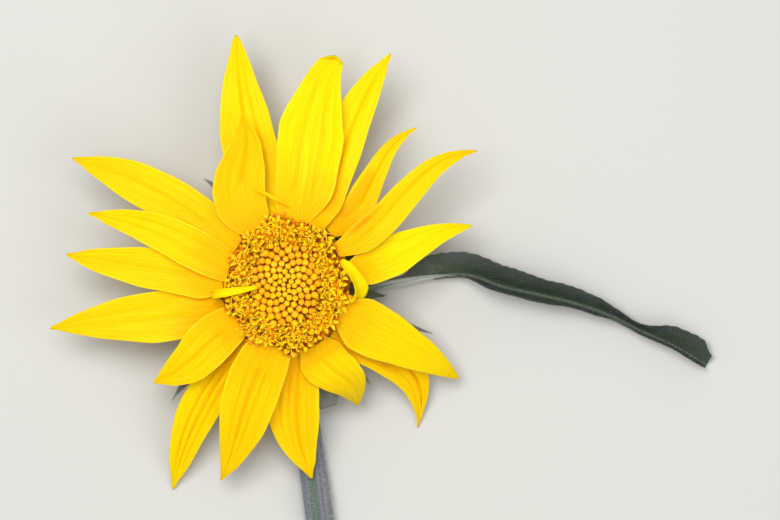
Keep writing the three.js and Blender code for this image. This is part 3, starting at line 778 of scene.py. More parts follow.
def smooth_path(stations):
    """Even steps along the centripetal curve that the part's source draws through the stations."""
    given = np.array(stations, float)
    knots = np.vstack([2 * given[0] - given[1], given, 2 * given[-1] - given[-2]])
    share = np.linspace(0, 1, DRAWN_STEPS, endpoint=False)[:, None]
    drawn = []
    for before, start, end, after in zip(knots, knots[1:], knots[2:], knots[3:]):
        pairs = ((before, start), (start, end), (end, after))
        gap_before, gap, gap_after = (max(np.linalg.norm(b - a) ** 0.5, 1e-4) for a, b in pairs)
        leave = (start - before) / gap_before - (end - before) / (gap_before + gap) + (end - start) / gap
        reach = (end - start) / gap - (after - start) / (gap + gap_after) + (after - end) / gap_after
        leave, reach = leave * gap, reach * gap
        cube = 2 * start - 2 * end + leave + reach
        square = -3 * start + 3 * end - 2 * leave - reach
        drawn.append(start + leave * share + square * share**2 + cube * share**3)
    drawn.append(given[-1:])
    drawn = np.concatenate(drawn)
    run = np.concatenate([[0], np.cumsum(np.linalg.norm(np.diff(drawn, axis=0), axis=1))])
    even = np.linspace(0, run[-1], PATH_STEPS)
    return np.stack([np.interp(even, run, drawn[:, axis]) for axis in range(3)], axis=1)


def along_path(path, shares):
    """Places and directions at shares of an even path."""
    steps = np.linspace(0, 1, len(path))
    heading = unit(np.gradient(path, axis=0))
    places = np.stack([np.interp(shares, steps, path[:, axis]) for axis in range(3)], axis=-1)
    headings = np.stack([np.interp(shares, steps, heading[:, axis]) for axis in range(3)], axis=-1)
    return places, unit(headings)


def path_length(path):
    return float(np.linalg.norm(np.diff(path, axis=0), axis=1).sum())


def polar(degrees, distance):
    angle = np.radians(degrees)
    return np.array([distance * np.cos(angle), distance * np.sin(angle)])


def on_head(degrees, distance):
    """Plan point at a direction and distance on the head, which is slightly oval."""
    return polar(degrees, distance) * np.array([ACROSS_SCALE, DOWN_SCALE])


def left_of(direction):
    """Direction in plan at a quarter turn to the left."""
    turned = np.array([-direction[1], direction[0]])
    return turned / np.linalg.norm(turned)


def outline(v, claw, widest, tip, full):
    """Share of the full width at v: a narrow claw that widens to 1, then a pointed tip."""
    near = claw + (1 - claw) * np.sin(np.pi / 2 * np.clip(v / widest, 0, 1) ** CLAW_FLARE)
    beyond = np.clip((v - widest) / (1 - widest), 0, 1)
    return np.where(v < widest, near, tip + (1 - tip) * (1 - beyond**full))


def sway(v, near, far):
    """Sideways pull on a blade's middle line, from a pull near the claw and one near the tip."""
    return 3 * (1 - v) ** 2 * v * near + 3 * (1 - v) * v * v * far


# Hairs

def add_hairs(gathered, roots, directions, lengths, radius):
    """Tapered three-sided hairs that stand on their roots."""
    faces = [(0, 1, 3), (1, 2, 3), (2, 0, 3)]
    for root, direction, length in zip(roots, directions, lengths):
        side = unit(np.cross(direction, [0.31, 0.83, 0.46]))
        other = np.cross(direction, side)
        ring = [side, -0.5 * side + 0.87 * other, -0.5 * side - 0.87 * other]
        sunk = root - direction * 0.08
        points = [sunk + corner * radius for corner in ring]
        points.append(root + direction * length)
        gathered.add(points, faces, white_hair)


def leaning(normals, random, lean):
    """Directions that each lean a little at random."""
    return unit(normals + random.normal(0, lean, normals.shape))


# Rays

def ray_rows(ray):
    """Where each point of a ray's grid is along and across it, and how far its end has turned."""
    station = np.linspace(0, 1, RAY_ROWS)
    v = (station - STATION_GATHER * np.sin(2 * np.pi * station))[:, None]
    w = np.linspace(-1, 1, RAY_COLUMNS)[None, :]
    v = v + 0 * w
    hook = np.zeros_like(v)
    if "end" in ray:
        turned = np.linspace(0, HOOK_TURN, HOOK_ROWS)[1:, None]
        v = np.concatenate([v * (1 - HOOK_SHARE), 1 - HOOK_SHARE + HOOK_SHARE * np.sin(turned) + 0 * w])
        hook = np.concatenate([hook, 1 - np.cos(turned) + 0 * w])
        v = v - np.where(w < 0, 0.02, 0.03) * w * w * smoothstep(v, 0.8, 1)
    return v, w + 0 * v, hook


def ray_share(ray, v, w, hook):
    """The share of its full width that a ray has at each point."""
    claw = ray.get("claw", RAY_CLAW_WIDTH) / ray["width"]
    end = ray.get("end", ray.get("tip_width", RAY_TIP_WIDTH)) / ray["width"]
    share = outline(v, claw, ray["widest"], end, ray["full"])
    if "end" not in ray:
        share = share * (1 - ray.get("pinch", TIP_PINCH) * smoothstep(v, 0.86, 0.97))
        beyond = np.clip((v - 1 + TIP_ROUND) / TIP_ROUND, 0, 1)
        share = share * np.sqrt(1 - 0.98 * beyond**2)
    share = share * (1 - np.where(w < 0, 0.45, 0.1) * np.clip(hook, 0, 1))
    left_gap, right_gap = ray.get("gap", (0, 0))
    return share * (1 - np.where(w < 0, left_gap, right_gap) * (1 - smoothstep(v, 0, RIM_RUN)))


def ray_folds(ray, v, w, share, phase):
    """How deep a ray's folds are at each point, and how much painted shade its folds and shade strips get."""
    dip, dark = np.zeros_like(v), np.zeros_like(v)
    for place, depth, breadth, start, end in ray["folds"]:
        shown = smoothstep(v, start, start + 0.15) * (1 - smoothstep(v, end - 0.1, end + 0.02))
        wander = place + 0.05 * np.sin(4 * v + phase[2])
        fold = np.exp(-(((w - wander) / breadth) ** 2)) * shown * np.minimum(1, share * 1.4)
        dip = dip + fold * depth
        dark = np.maximum(dark, fold * min(1.6, depth / 0.8))
    # Shade strips: painted shadow alone, without a fold.
    for place, depth, breadth, start, end in ray.get("painted_shades", ()):
        shown = smoothstep(v, start, start + 0.15) * (1 - smoothstep(v, end - 0.15, end + 0.1))
        dark = np.maximum(dark, np.exp(-(((w - place) / breadth) ** 4)) * shown * depth)
    return dip, dark


def ray_middle(ray, random):
    """A ray's surface between its two skins, how much painted shade it gets, and where each point lies on it.
    """
    v, w, hook = ray_rows(ray)
    share = ray_share(ray, v, w, hook)
    phase = random.uniform(0, 2 * np.pi, 6)
    foot = on_head(ray["rim"], RIM_RADIUS + SEAT_GAP + 0.1)
    chord = polar(ray["tip"], ray["out"]) - foot
    left = left_of(chord)
    inwards = on_head(ray["rim"], CLAW_REACH_IN[ray["layer"]]) * (1 - smoothstep(v, 0, RIM_RUN))[..., None]
    turn = smoothstep(v, 0, 0.2)[..., None]
    aside = unit(unit(on_head(ray["rim"] + 90, 1)) * (1 - turn) + left * turn)
    uneven = np.sin(9 * v + phase[0] + np.sign(w) * phase[1]) + 0.6 * np.sin(21 * v + phase[2] * np.sign(w))
    scallop = 1 + RAY_SCALLOP * uneven * smoothstep(v, 0.15, 0.4)
    half = -w * share * scallop * ray["width"] / 2
    middle_line = foot + chord * v[..., None] + left * sway(v, ray["near"], ray["far"])[..., None]
    plan = middle_line - inwards + aside * half[..., None]

    spread = np.minimum(1, v * 5) * share
    dip, dark = ray_folds(ray, v, w, share, phase)
    ribs = 0.045 * np.sin(w * 13 + phase[3] + v * 2) + 0.03 * np.sin(w * 21 + phase[0] - v * 3)
    ribs = (ribs + 0.02 * np.sin(w * 34 + phase[1])) * spread * (1 - w * w)
    ruffle = 0.3 * np.abs(w) ** 3 * np.sin(11 * v + phase[4] + np.sign(w) * phase[5])
    ruffle = ruffle * smoothstep(v, 0.1, 0.4)
    height = RAY_LAYER_HEIGHT[ray["layer"]] - ray["fall"] * v ** ray["curl"]
    height = height + hook * HOOK_SHARE * (ray["out"] - RIM_RADIUS)
    height = height + ray["trough"] * spread * (w * w - 0.35) - dip
    height = height + ribs + ruffle * (1 - smoothstep(v, 0.8, 1.0))
    height = height + CLAW_RISE[ray["layer"]] * np.clip(1 - v / CLAW_RUN, 0, 1) ** 2
    return np.concatenate([plan, height[..., None]], axis=-1), dark, v, w


def make_ray(ray, index):
    """A ray between its two skins, thinner towards its edges and its tip."""
    random = np.random.default_rng(100 + index)
    middle, dark, v, w = ray_middle(ray, random)
    points, faces = closed_sheet(middle, RAY_THICKNESS * (1 - 0.55 * w**4) * (1 - 0.35 * v))
    length = ray["out"] - RIM_RADIUS
    pale = ray.get("pale", 0)
    marks = {
        "along": on_both_skins(pale + (1 - pale) * v),
        "across": on_both_skins(w),
        "painted_crease_shade": on_both_skins(dark),
        "gold": np.full(len(points), ray["gold"]),
        "strand": on_both_skins(np.stack([w * ray["width"] / 2 + 40 * index, v * length, 0 * v], axis=-1)),
    }
    piece = make_piece(f"ray_petal_{index + 1:02d}", points, faces, [ray_yellow], marks)
    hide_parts(f"ray_{index + 1:02d}")


def make_small_ray(ray, index):
    """A stunted ray: a narrow strip whose edges roll in."""
    rows, columns = 44, 13
    path = smooth_path([(*on_head(degrees, distance), height) for degrees, distance, height in ray["path"]])
    v = np.linspace(0, 1, rows)
    w = np.linspace(-1, 1, columns)
    places, headings = along_path(path, v)
    outward = unit(places - np.array([0, 0, RECEPTACLE_BACK]))
    across = unit(np.cross(outward, headings))
    lift = np.cross(headings, across)
    shares = ray.get("shares", SMALL_RAY_SHARES)
    share = np.interp(v, np.linspace(0, 1, len(shares)), shares)
    aside = -w[None, :] * (ray["width"] / 2 * share)[:, None]
    roll = 0.26 * ray["width"] * share[:, None] * (w[None, :] ** 2 - 0.4)
    middle = places[:, None] + across[:, None] * aside[..., None] + lift[:, None] * roll[..., None]
    v, w = np.broadcast_arrays(v[:, None], w[None, :])
    points, faces = closed_sheet(middle, 0.34 * (1 - 0.4 * w**2))
    marks = {
        "along": on_both_skins(0.45 + 0.5 * v),
        "across": on_both_skins(w * 0.4),
        "painted_crease_shade": np.zeros(len(points)),
        "gold": np.full(len(points), ray["gold"]),
        "strand": on_both_skins(np.stack([w * ray["width"] / 2 + 900 + 40 * index, v * 20, 0 * v], axis=-1)),
    }
    piece = make_piece(f"small_petal_{index + 1:02d}", points, faces, [small_ray_yellow], marks)
    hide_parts(f"small_ray_{index + 1:02d}")


# Disc

def disc_height(distance):
    """How high the florets' tops stand at a distance from the disc's middle."""
    ground = RECEPTACLE_TOP + SEAT_GAP
    buds = ground + BUD_ZONE_RISE - BUD_ZONE_SLOPE * (distance / BUD_ZONE_RADIUS) ** 2
    share = np.clip((DISC_RADIUS - distance) / (DISC_RADIUS - BUD_ZONE_RADIUS - SEAT_GAP), 0, 1)
    swell = np.sin(np.pi * (0.12 + 0.62 * share))
    ring = ground + FLORET_RING_EDGE + (FLORET_RING_RISE - FLORET_RING_EDGE) * swell
    blend = smoothstep(distance, BUD_ZONE_RADIUS - 0.8, BUD_ZONE_RADIUS + 1.2)
    return buds * (1 - blend) + ring * blend


def floret_distance(number):
    """How far from the middle the spiral sets a floret."""
    return BUD_ZONE_RADIUS * (number / CLOSED_BUDS) ** SPIRAL_POWER


def floret_spacing(number):
    """How far a floret is from its neighbours."""
    distance = floret_distance(number)
    return distance * math.sqrt(2 * math.pi * SPIRAL_POWER / (0.866 * number))


def lathe(profile, around, lobes=0, depth=0.0):
    """Rings of (radius, height, share of the lobes) turned about the upright axis, with a top cap."""
    turn = np.linspace(0, 2 * np.pi, around, endpoint=False)
    points = []
    for radius, height, lobed in profile:
        reach = radius * (1 - depth * lobed * (0.5 - 0.5 * np.cos(lobes * turn)))
        points.extend(np.stack([reach * np.cos(turn), reach * np.sin(turn), np.full(around, height)], axis=1))
    last = (len(profile) - 1) * around
    faces = tube_faces(len(profile), around) + cap_faces(last, around, len(points))
    points.append((0, 0, profile[-1][1]))
    return np.array(points, float), faces


def stood(points, place, axis, spin):
    """Points of an upright shape, spun about itself, leant to an axis and set at a place."""
    side = unit(np.cross([0, 1, 0], axis))
    other = np.cross(axis, side)
    right = side * math.cos(spin) + other * math.sin(spin)
    ahead = np.cross(axis, right)
    return place + points[:, :1] * right + points[:, 1:2] * ahead + points[:, 2:] * axis


def surface_axis(x, y, lean):
    """Direction square to the disc's face at a point, leant outwards by a share."""
    distance = math.hypot(x, y)
    step = 0.3
    slope = (disc_height(distance + step) - disc_height(max(distance - step, 0))) / (2 * step)
    outward = np.array([x, y, 0]) / max(distance, 1e-6)
    return unit(UP + outward * (lean - 0.6 * float(slope)))


def floret_place(number):
    """Where the spiral sets a floret, before the disc is made oval."""
    distance = floret_distance(number)
    angle = number * GOLDEN_ANGLE
    return distance * math.cos(angle), distance * math.sin(angle)


def dent(degrees, direction, depth, breadth):
    """How deep a dent towards a direction is, as seen towards another one."""
    aside = (degrees - direction + 180) % 360 - 180
    return depth * math.exp(-((aside / breadth) ** 2))


def ring_edge(degrees):
    """How far the open florets come: less where a ray's claw lies over the rim."""
    edge = RIM_RADIUS + 0.2
    for ray in RAYS:
        breadth = CLAW_PUSH_BREADTH * ray.get("claw", RAY_CLAW_WIDTH) / RAY_CLAW_WIDTH
        edge -= dent(degrees, ray["rim"], CLAW_REACH_IN[ray["layer"]] * CLAW_PUSH, breadth)
    for direction, depth, breadth in RING_DENTS:
        edge -= dent(degrees, direction, depth, breadth)
    return edge


def is_closed(x, y):
    """The florets inside an upright oval are still buds."""
    return math.hypot(x / CLOSED_HALF_WIDTH, y / CLOSED_HALF_HEIGHT) < 1


def bud_profile(radius):
    """A closed bud: a sided column with a rounded, faintly five-parted top."""
    return [
        (radius * 0.78, -radius * 2.4, 0.2),
        (radius * 0.95, -radius * 1.3, 0.5),
        (radius * 1.0, -radius * 0.7, 0.7),
        (radius * 1.0, -radius * 0.34, 0.8),
        (radius * 0.92, -radius * 0.1, 0.9),
        (radius * 0.68, radius * 0.04, 1.0),
        (radius * 0.25, radius * 0.06, 1.0),
    ]


def make_buds():
    """The closed florets: gold tops with painted shade towards their sides, on columns of a deeper orange
    with painted shade.
    """
    random = np.random.default_rng(7)
    buds = Gathered(bud_gold, bud_gold_light, bud_side_shaded)
    around = 15
    # How much painted shade each point of a bud gets.
    side = np.append(np.repeat(BUD_SIDE_SHADE, around), 0)
    for number in range(1, ALL_FLORETS + 1):
        x, y = floret_place(number + 0.4)
        if not is_closed(x, y):
            continue
        radius = 0.53 * floret_spacing(number + 0.4) * random.uniform(0.93, 1.05)
        points, faces = lathe(bud_profile(radius), around, 5, 0.2)
        distance = math.hypot(x, y)
        height = float(disc_height(distance)) + random.uniform(-0.2, 0.2)
        axis = surface_axis(x, y, 0.04 + 0.3 * float(smoothstep(distance, 8, 13)))
        place = np.array([x * ACROSS_SCALE, y * DOWN_SCALE, height])
        points = stood(points, place, axis, random.uniform(0, 6))
        gold = bud_gold_light if random.random() < 0.45 or number < 34 else bud_gold
        buds.add(points, faces[around * 2:], gold, side)
        buds.add(points, faces[: around * 2], bud_side_shaded, side)
    piece = buds.piece("closed_buds")
    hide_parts("disc_buds")


def strip(path, widths, side):
    """A narrow strip along a path, as points in pairs, with its quads."""
    points = []
    for place, width in zip(path, widths):
        points.append(place - side * width / 2)
        points.append(place + side * width / 2)
    faces = [(2 * i, 2 * i + 1, 2 * i + 3, 2 * i + 2) for i in range(len(path) - 1)]
    return np.array(points), faces


def add_lobes(florets, size, opening, place, axis, spin, finish, random):
    """Five pointed lobes that curl out and down from a floret's throat."""
    for lobe in range(5):
        turn = 2 * math.pi * (lobe + random.uniform(-0.12, 0.12)) / 5
        out = np.array([math.cos(turn), math.sin(turn), 0])
        side = np.array([-math.sin(turn), math.cos(turn), 0])
        bend = opening * random.uniform(0.75, 1.2)
        reach = size * random.uniform(0.85, 1.15)
        profile = [
            (0.56, -0.35), (0.7, 0.05),
            (0.7 + 0.32 * bend, 0.38), (0.7 + 0.72 * bend, 0.44), (0.7 + 1.05 * bend, 0.14),
        ]
        centre = np.array([out * radius * reach + UP * height * reach for radius, height in profile])
        widths = np.array([0.6 * reach, 0.72 * reach, 0.6 * reach, 0.38 * reach, 0.08])[:, None]
        left = centre - side * widths / 2 + UP * 0.12 * reach
        right = centre + side * widths / 2 + UP * 0.12 * reach
        points = np.stack([right, centre, left], axis=1).reshape(-1, 3)
        faces = grid_faces(len(profile), 3)[:, ::-1].tolist()
        florets.add(stood(points, place, axis, spin), faces, finish)


def add_curl(florets, start, out, lift, length, finish, place, axis, spin):
    """A thin tapering arm that rises, bends out and curls under."""
    steps, sides = 7, 4
    angle = np.linspace(0.1, 3.6, steps)
    curl = length / 3.4
    centre = [start + out * curl * (1 - math.cos(a)) + UP * (curl * math.sin(a) * lift) for a in angle]
    side = np.cross(UP, out)
    points = []
    for step, middle in enumerate(centre):
        thin = STYLE_RADIUS * (1 - 0.6 * step / (steps - 1))
        normal = out * math.sin(angle[step]) + UP * math.cos(angle[step])
        for turn in range(sides):
            a = 2 * math.pi * turn / sides
            points.append(middle + side * thin * math.cos(a) + np.cross(normal, side) * thin * math.sin(a))
    florets.add(stood(np.array(points), place, axis, spin), tube_faces(steps, sides), finish)


def add_floret(florets, place, axis, size, opening, curls, random):
    """One open floret: its tube, lobes, anther column and curled styles."""
    spin = random.uniform(0, 6)
    tint = lobe_yellow if random.random() < 0.62 else lobe_deep
    tube = [
        (0.42 * size, -4.2, 0), (0.5 * size, -1.6 * size, 0),
        (0.62 * size, -0.7 * size, 0), (0.6 * size, -0.3 * size, 0),
    ]
    points, faces = lathe(tube, 10)
    florets.add(stood(points, place, axis, spin), faces, lobe_deep)
    add_lobes(florets, size * 1.3, opening, place, axis, spin, tint, random)
    ripe = random.random() < 0.38
    stands = random.uniform(0.3, 1.0) * size + (0.6 if ripe else 0)
    broad = size * (1.4 if ripe else 1)
    anther = [
        (0.3 * broad, -0.6 * size, 0), (0.34 * broad, stands * 0.6, 0),
        (0.26 * broad, stands, 0), (0.08 * broad, stands * 1.15, 0),
    ]
    points, faces = lathe(anther, 7)
    florets.add(stood(points, place, axis, spin), faces, anther_brown if ripe else anther_orange)
    if random.random() < curls:
        turn = random.uniform(0, 6)
        length = random.uniform(1.9, 3.2)
        finish = style_yellow if random.random() < 0.65 else style_orange
        for way in (0, math.pi):
            angle = turn + way + random.uniform(-0.4, 0.4)
            out = np.array([math.cos(angle), math.sin(angle), 0])
            curl = random.uniform(0.6, 1.1)
            add_curl(florets, UP * stands, out, curl, length, finish, place, axis, spin)


def make_open_florets():
    """The ring of open florets, a last row that leans out over the rays, and loose styles."""
    random = np.random.default_rng(23)
    florets = Gathered(lobe_yellow, lobe_deep, style_yellow, anther_brown, anther_orange, style_orange)
    for number in range(1, ALL_FLORETS + 1):
        x, y = floret_place(number + 0.4)
        distance = math.hypot(x, y)
        edge = ring_edge(math.degrees(math.atan2(y, x)))
        if is_closed(x, y) or distance > edge - 0.7:
            continue
        outer = (distance - BUD_ZONE_RADIUS) / (RIM_RADIUS - BUD_ZONE_RADIUS)
        size = 0.45 * floret_spacing(number + 0.4) * random.uniform(0.85, 1.15)
        lean = 0.05 + 0.4 * outer + random.uniform(-0.2, 0.2)
        axis = unit(surface_axis(x, y, lean) + random.normal(0, 0.13, 3) * np.array([1, 1, 0]))
        height = float(disc_height(distance)) - 0.6 + random.uniform(-0.5, 0.4)
        place = np.array([x * ACROSS_SCALE, y * DOWN_SCALE, height])
        opening = 0.45 + 0.75 * max(outer, 0) + random.uniform(-0.15, 0.25)
        add_floret(florets, place, axis, size, opening, 0.55 + 0.35 * outer, random)
    for number in range(RIM_FLORETS):
        angle = 2 * math.pi * (number + random.uniform(-0.3, 0.3)) / RIM_FLORETS
        outward = np.array([math.cos(angle), math.sin(angle), 0])
        distance = ring_edge(math.degrees(angle)) - random.uniform(0.1, 2.2)
        lean = random.uniform(0.4, 1.5)
        axis = unit(UP + outward * lean + random.normal(0, 0.2, 3) * np.array([1, 1, 0]))
        height = RECEPTACLE_TOP + random.uniform(1.4, 2.4)
        place = np.append(outward[:2] * distance * np.array([ACROSS_SCALE, DOWN_SCALE]), height)
        add_floret(florets, place, axis, random.uniform(0.9, 1.15), random.uniform(0.6, 1.2), 0.5, random)
    for number in range(LOOSE_STYLES):
        angle = random.uniform(0, 2 * math.pi)
        distance = random.uniform(BUD_ZONE_RADIUS - 0.6, RIM_RADIUS - 0.2)
        outward = np.array([math.cos(angle), math.sin(angle), 0])
        x, y = outward[0] * distance, outward[1] * distance
        if is_closed(x * 0.97, y * 0.97) or distance > ring_edge(math.degrees(angle)):
            continue
        axis = unit(surface_axis(x, y, 0.2) + random.normal(0, 0.4, 3) * np.array([1, 1, 0.2]))
        height = float(disc_height(distance)) + random.uniform(-0.7, 0.1)
        place = np.array([x * ACROSS_SCALE, y * DOWN_SCALE, height])
        turn = random.uniform(0, 2 * math.pi)
        out = np.array([math.cos(turn), math.sin(turn), 0])
        finish = style_yellow if random.random() < 0.6 else style_orange
        curl, length = random.uniform(0.5, 1.2), random.uniform(1.5, 2.8)
        add_curl(florets, UP * 0.1, out, curl, length, finish, place, axis, 0)
    # Painted shade: the deeper a point lies under the disc's face, the more orange-brown it is painted.
    points = np.concatenate(florets.points)
    distance = np.hypot(points[:, 0] / ACROSS_SCALE, points[:, 1] / DOWN_SCALE)
    florets.sides = [smoothstep(disc_height(distance) - points[:, 2], *FLORET_DEPTHS)]
    piece = florets.piece("open_disc_florets")
    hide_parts("open_florets")


def make_disc_floor():
    """The disc's floor that shows between the florets, and the pointed chaff on it."""
    around = 60
    profile = []
    for distance in (0.3, *np.linspace(1.5, DISC_RADIUS - 0.9, 16)):
        profile.append((distance, float(disc_height(distance)) - DISC_FLOOR_DEPTH, 0))
    profile.append((DISC_RADIUS - 0.5, RECEPTACLE_TOP + 1.2, 0))
    profile.append((DISC_RADIUS - 0.6, RECEPTACLE_TOP + SEAT_GAP, 0))
    points, faces = lathe(profile[::-1], around)
    for point in points:
        distance = math.hypot(point[0], point[1])
        if distance > BUD_ZONE_RADIUS:
            edge = ring_edge(math.degrees(math.atan2(point[1], point[0]))) - 0.9
            share = (distance - BUD_ZONE_RADIUS) / (DISC_RADIUS - 0.5 - BUD_ZONE_RADIUS)
            point[:2] *= (BUD_ZONE_RADIUS + share * (edge - BUD_ZONE_RADIUS)) / distance
    points = points * np.array([ACROSS_SCALE, DOWN_SCALE, 1])
    chaff = Gathered(disc_floor_brown, chaff_gold, disc_floor_orange)
    outer = [face for face in faces if math.hypot(*points[face[0]][:2]) > BUD_ZONE_RADIUS]
    inner = [face for face in faces if math.hypot(*points[face[0]][:2]) <= BUD_ZONE_RADIUS]
    chaff.add(points, inner, disc_floor_brown)
    chaff.add(points, outer, disc_floor_orange)
    random = np.random.default_rng(41)
    for number in range(8, ALL_FLORETS + 1):
        x, y = floret_place(number + 0.9)
        distance = math.hypot(x, y)
        if distance > ring_edge(math.degrees(math.atan2(y, x))) - 1:
            continue
        axis = surface_axis(x, y, 0.1)
        place = np.array([x * ACROSS_SCALE, y * DOWN_SCALE, float(disc_height(distance)) - 0.9])
        out = np.array([1.0, 0, 0])
        path = [out * 0.1 - UP * 1.6, out * 0.06 - UP * 0.5, UP * random.uniform(0.1, 0.4)]
        points, faces = strip(path, [0.7, 0.55, 0.05], np.array([0, 1.0, 0]))
        chaff.add(stood(points, place, axis, math.atan2(y, x)), faces, chaff_gold)
    piece = chaff.piece("disc_floor")


# Receptacle and bracts

def make_receptacle():
    """The back of the head: the dish that carries rays, bracts and florets."""
    profile = [
        (5.6, RECEPTACLE_BACK), (8.4, RECEPTACLE_BACK + 0.2), (11.5, RECEPTACLE_BACK + 0.7),
        (15.8, RECEPTACLE_BACK + 1.6), (16.6, RECEPTACLE_BACK + 2.2),
        (OUTER_BRACT_WALL, RECEPTACLE_BACK + 2.8), (OUTER_BRACT_WALL, RECEPTACLE_BACK + 4.6),
        (17.3, RECEPTACLE_BACK + 5.1), (19.3, RECEPTACLE_BACK + 5.5),
        (INNER_BRACT_WALL, RECEPTACLE_BACK + 6), (INNER_BRACT_WALL, RECEPTACLE_BACK + 7.5),
        (20.4, RECEPTACLE_BACK + 8), (21.6, RECEPTACLE_BACK + 8.4),
        (RIM_RADIUS, RECEPTACLE_BACK + 9), (RIM_RADIUS, RECEPTACLE_TOP - 0.6),
        (21.6, RECEPTACLE_TOP - 0.1), (20.6, RECEPTACLE_TOP),
    ]
    around = 96
    turn = np.linspace(0, 2 * np.pi, around, endpoint=False)
    relief = 0.08 * np.sin(turn * 21) + 0.05 * np.sin(turn * 34 + 1)
    points = []
    for radius, height in profile:
        reach = radius + relief * (radius > 7)
        x, y = reach * np.cos(turn) * ACROSS_SCALE, reach * np.sin(turn) * DOWN_SCALE
        points.extend(np.stack([x, y, np.full(around, height)], axis=1))
    last = (len(profile) - 1) * around
    faces = tube_faces(len(profile), around)
    faces += cap_faces(0, around, len(points), upward=False) + cap_faces(last, around, len(points) + 1)
    points.extend([(0, 0, profile[0][1]), (0, 0, profile[-1][1])])
    points = np.array(points, float)
    turns = np.arctan2(points[:, 1], points[:, 0])
    reach = np.hypot(points[:, 0], points[:, 1])
    marks = {
        "along": np.full(len(points), 0.1),
        "across": np.sin(turns * 5) * 0.4,
        "downy": np.ones(len(points)),
        "strand": np.stack([turns * 20, reach + points[:, 2], 0 * reach], axis=1),
    }
    slots = [int(points[list(face), 2].min() > RECEPTACLE_TOP - 0.9) for face in faces]
    piece = make_piece("receptacle_skin", points, faces, [bract_green, rim_brown], marks, slots)
    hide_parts("receptacle")


def bract_fall(degrees):
    """How far a bract's tip drops: more towards the rays that droop at the lower right."""
    return 6 + 9 * max(0, math.cos(math.radians(degrees + 70)))


def make_bract(name, node, bract, hairs, index):
    """A bract with a drawn-out tip, a midrib and hairy margins."""
    rows, columns = 34, 15
    random = np.random.default_rng(300 + index)
    v = np.linspace(0, 1, rows)[:, None]
    w = np.linspace(-1, 1, columns)[None, :]
    foot = on_head(bract["degrees"], bract["wall"] + SEAT_GAP + 0.1)
    chord = polar(bract["degrees"], bract["reach"]) - foot
    left = left_of(chord)
    width = bract.get("width", BRACT_WIDTH)
    end, full = bract.get("end", 0.03), bract.get("full", BRACT_FULLNESS)
    share = outline(v, BRACT_CLAW_WIDTH / width, 0.32, end, full)
    if "full" not in bract:
        share = share * (1 - 0.55 * smoothstep(v, 0.4, 0.85))
    half = -w * share * width / 2 * (1 + 0.03 * np.sin(14 * v + index))
    middle_line = foot + chord * v[..., None] + left * sway(v, 0, bract.get("bow", 0))[..., None]
    plan = middle_line + left * half[..., None]
    height = bract["height"] - bract["fall"] * v**1.4
    height = height + BRACT_TROUGH * np.minimum(1, v * 4) * share * (w * w - 0.4)
    height = height - 0.25 * np.exp(-((w / 0.14) ** 2)) * (1 - 0.6 * v)
    height = height + 0.25 * np.abs(w) ** 3 * np.sin(10 * v + index) * smoothstep(v, 0.1, 0.4)
    middle = np.concatenate([plan, height[..., None]], axis=-1)
    v, w = np.broadcast_arrays(v, w)
    points, faces = closed_sheet(middle, BRACT_THICKNESS * (1 - 0.6 * w**2) * (1 - 0.5 * v))
    points[:, 2] = np.maximum(points[:, 2], FLOOR_CLEARANCE)
    strand = np.stack([w * width / 2 + 25 * index, v * bract["reach"] / 2, 0 * v], axis=-1)
    marks = {
        "along": on_both_skins(v),
        "across": on_both_skins(w),
        "downy": np.full(len(points), bract.get("downy", 1.0)),
        "strand": on_both_skins(strand),
    }
    piece = make_piece(name, points, faces, [bract_green], marks)
    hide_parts(node)
    normals = grid_normals(middle)
    outward = unit(np.append(chord, 0))
    sideways = np.append(left, 0)
    roots, directions = [], []
    for _ in range(BRACT_EDGE_HAIRS):
        row = random.integers(2, rows)
        edge = random.choice([0, columns - 1])
        roots.append(middle[row, edge])
        directions.append(sideways * (1 if edge == 0 else -1) + outward * 0.7 - UP * 0.1)
    for _ in range(BRACT_FACE_HAIRS):
        row, column = random.integers(1, rows - 1), random.integers(1, columns - 1)
        roots.append(middle[row, column])
        directions.append(-normals[row, column] + outward * 0.5)
    roots, directions = np.array(roots), np.array(directions)
    roots = roots + random.uniform(-0.2, 0.2, roots.shape) * np.array([1, 1, 0])
    roots[:, 2] = np.maximum(roots[:, 2], 0.3)
    directions = leaning(unit(directions), random, 0.22)
    directions[:, 2] = np.maximum(directions[:, 2], -roots[:, 2] / 1.5)
    add_hairs(hairs, roots, directions, random.uniform(0.5, 1.2, len(roots)), BRACT_HAIR_RADIUS)


def make_bracts(hairs):
    """The inner row of bracts clockwise, and the outer row anticlockwise."""
    for i in range(INNER_BRACT_COUNT):
        bract = dict(degrees=-19 - i * 360 / INNER_BRACT_COUNT, reach=INNER_BRACT_REACH)
        bract.update(UNEVEN_INNER_BRACTS.get(i, {}))
        bract.update(wall=INNER_BRACT_WALL, height=INNER_BRACT_HEIGHT, fall=bract_fall(bract["degrees"]))
        make_bract(f"inner_bract_leaf_{i + 1:02d}", f"inner_bract_{i + 1:02d}", bract, hairs, i)
    for i in range(OUTER_BRACT_COUNT):
        bract = dict(degrees=-2 + i * 360 / OUTER_BRACT_COUNT, reach=OUTER_BRACT_REACH)
        bract.update(UNEVEN_OUTER_BRACTS.get(i, {}))
        bract.setdefault("fall", bract_fall(bract["degrees"]) + 2)
        bract.update(wall=OUTER_BRACT_WALL, height=OUTER_BRACT_HEIGHT)
        make_bract(f"outer_bract_leaf_{i + 1:02d}", f"outer_bract_{i + 1:02d}", bract, hairs, 20 + i)


# Stem

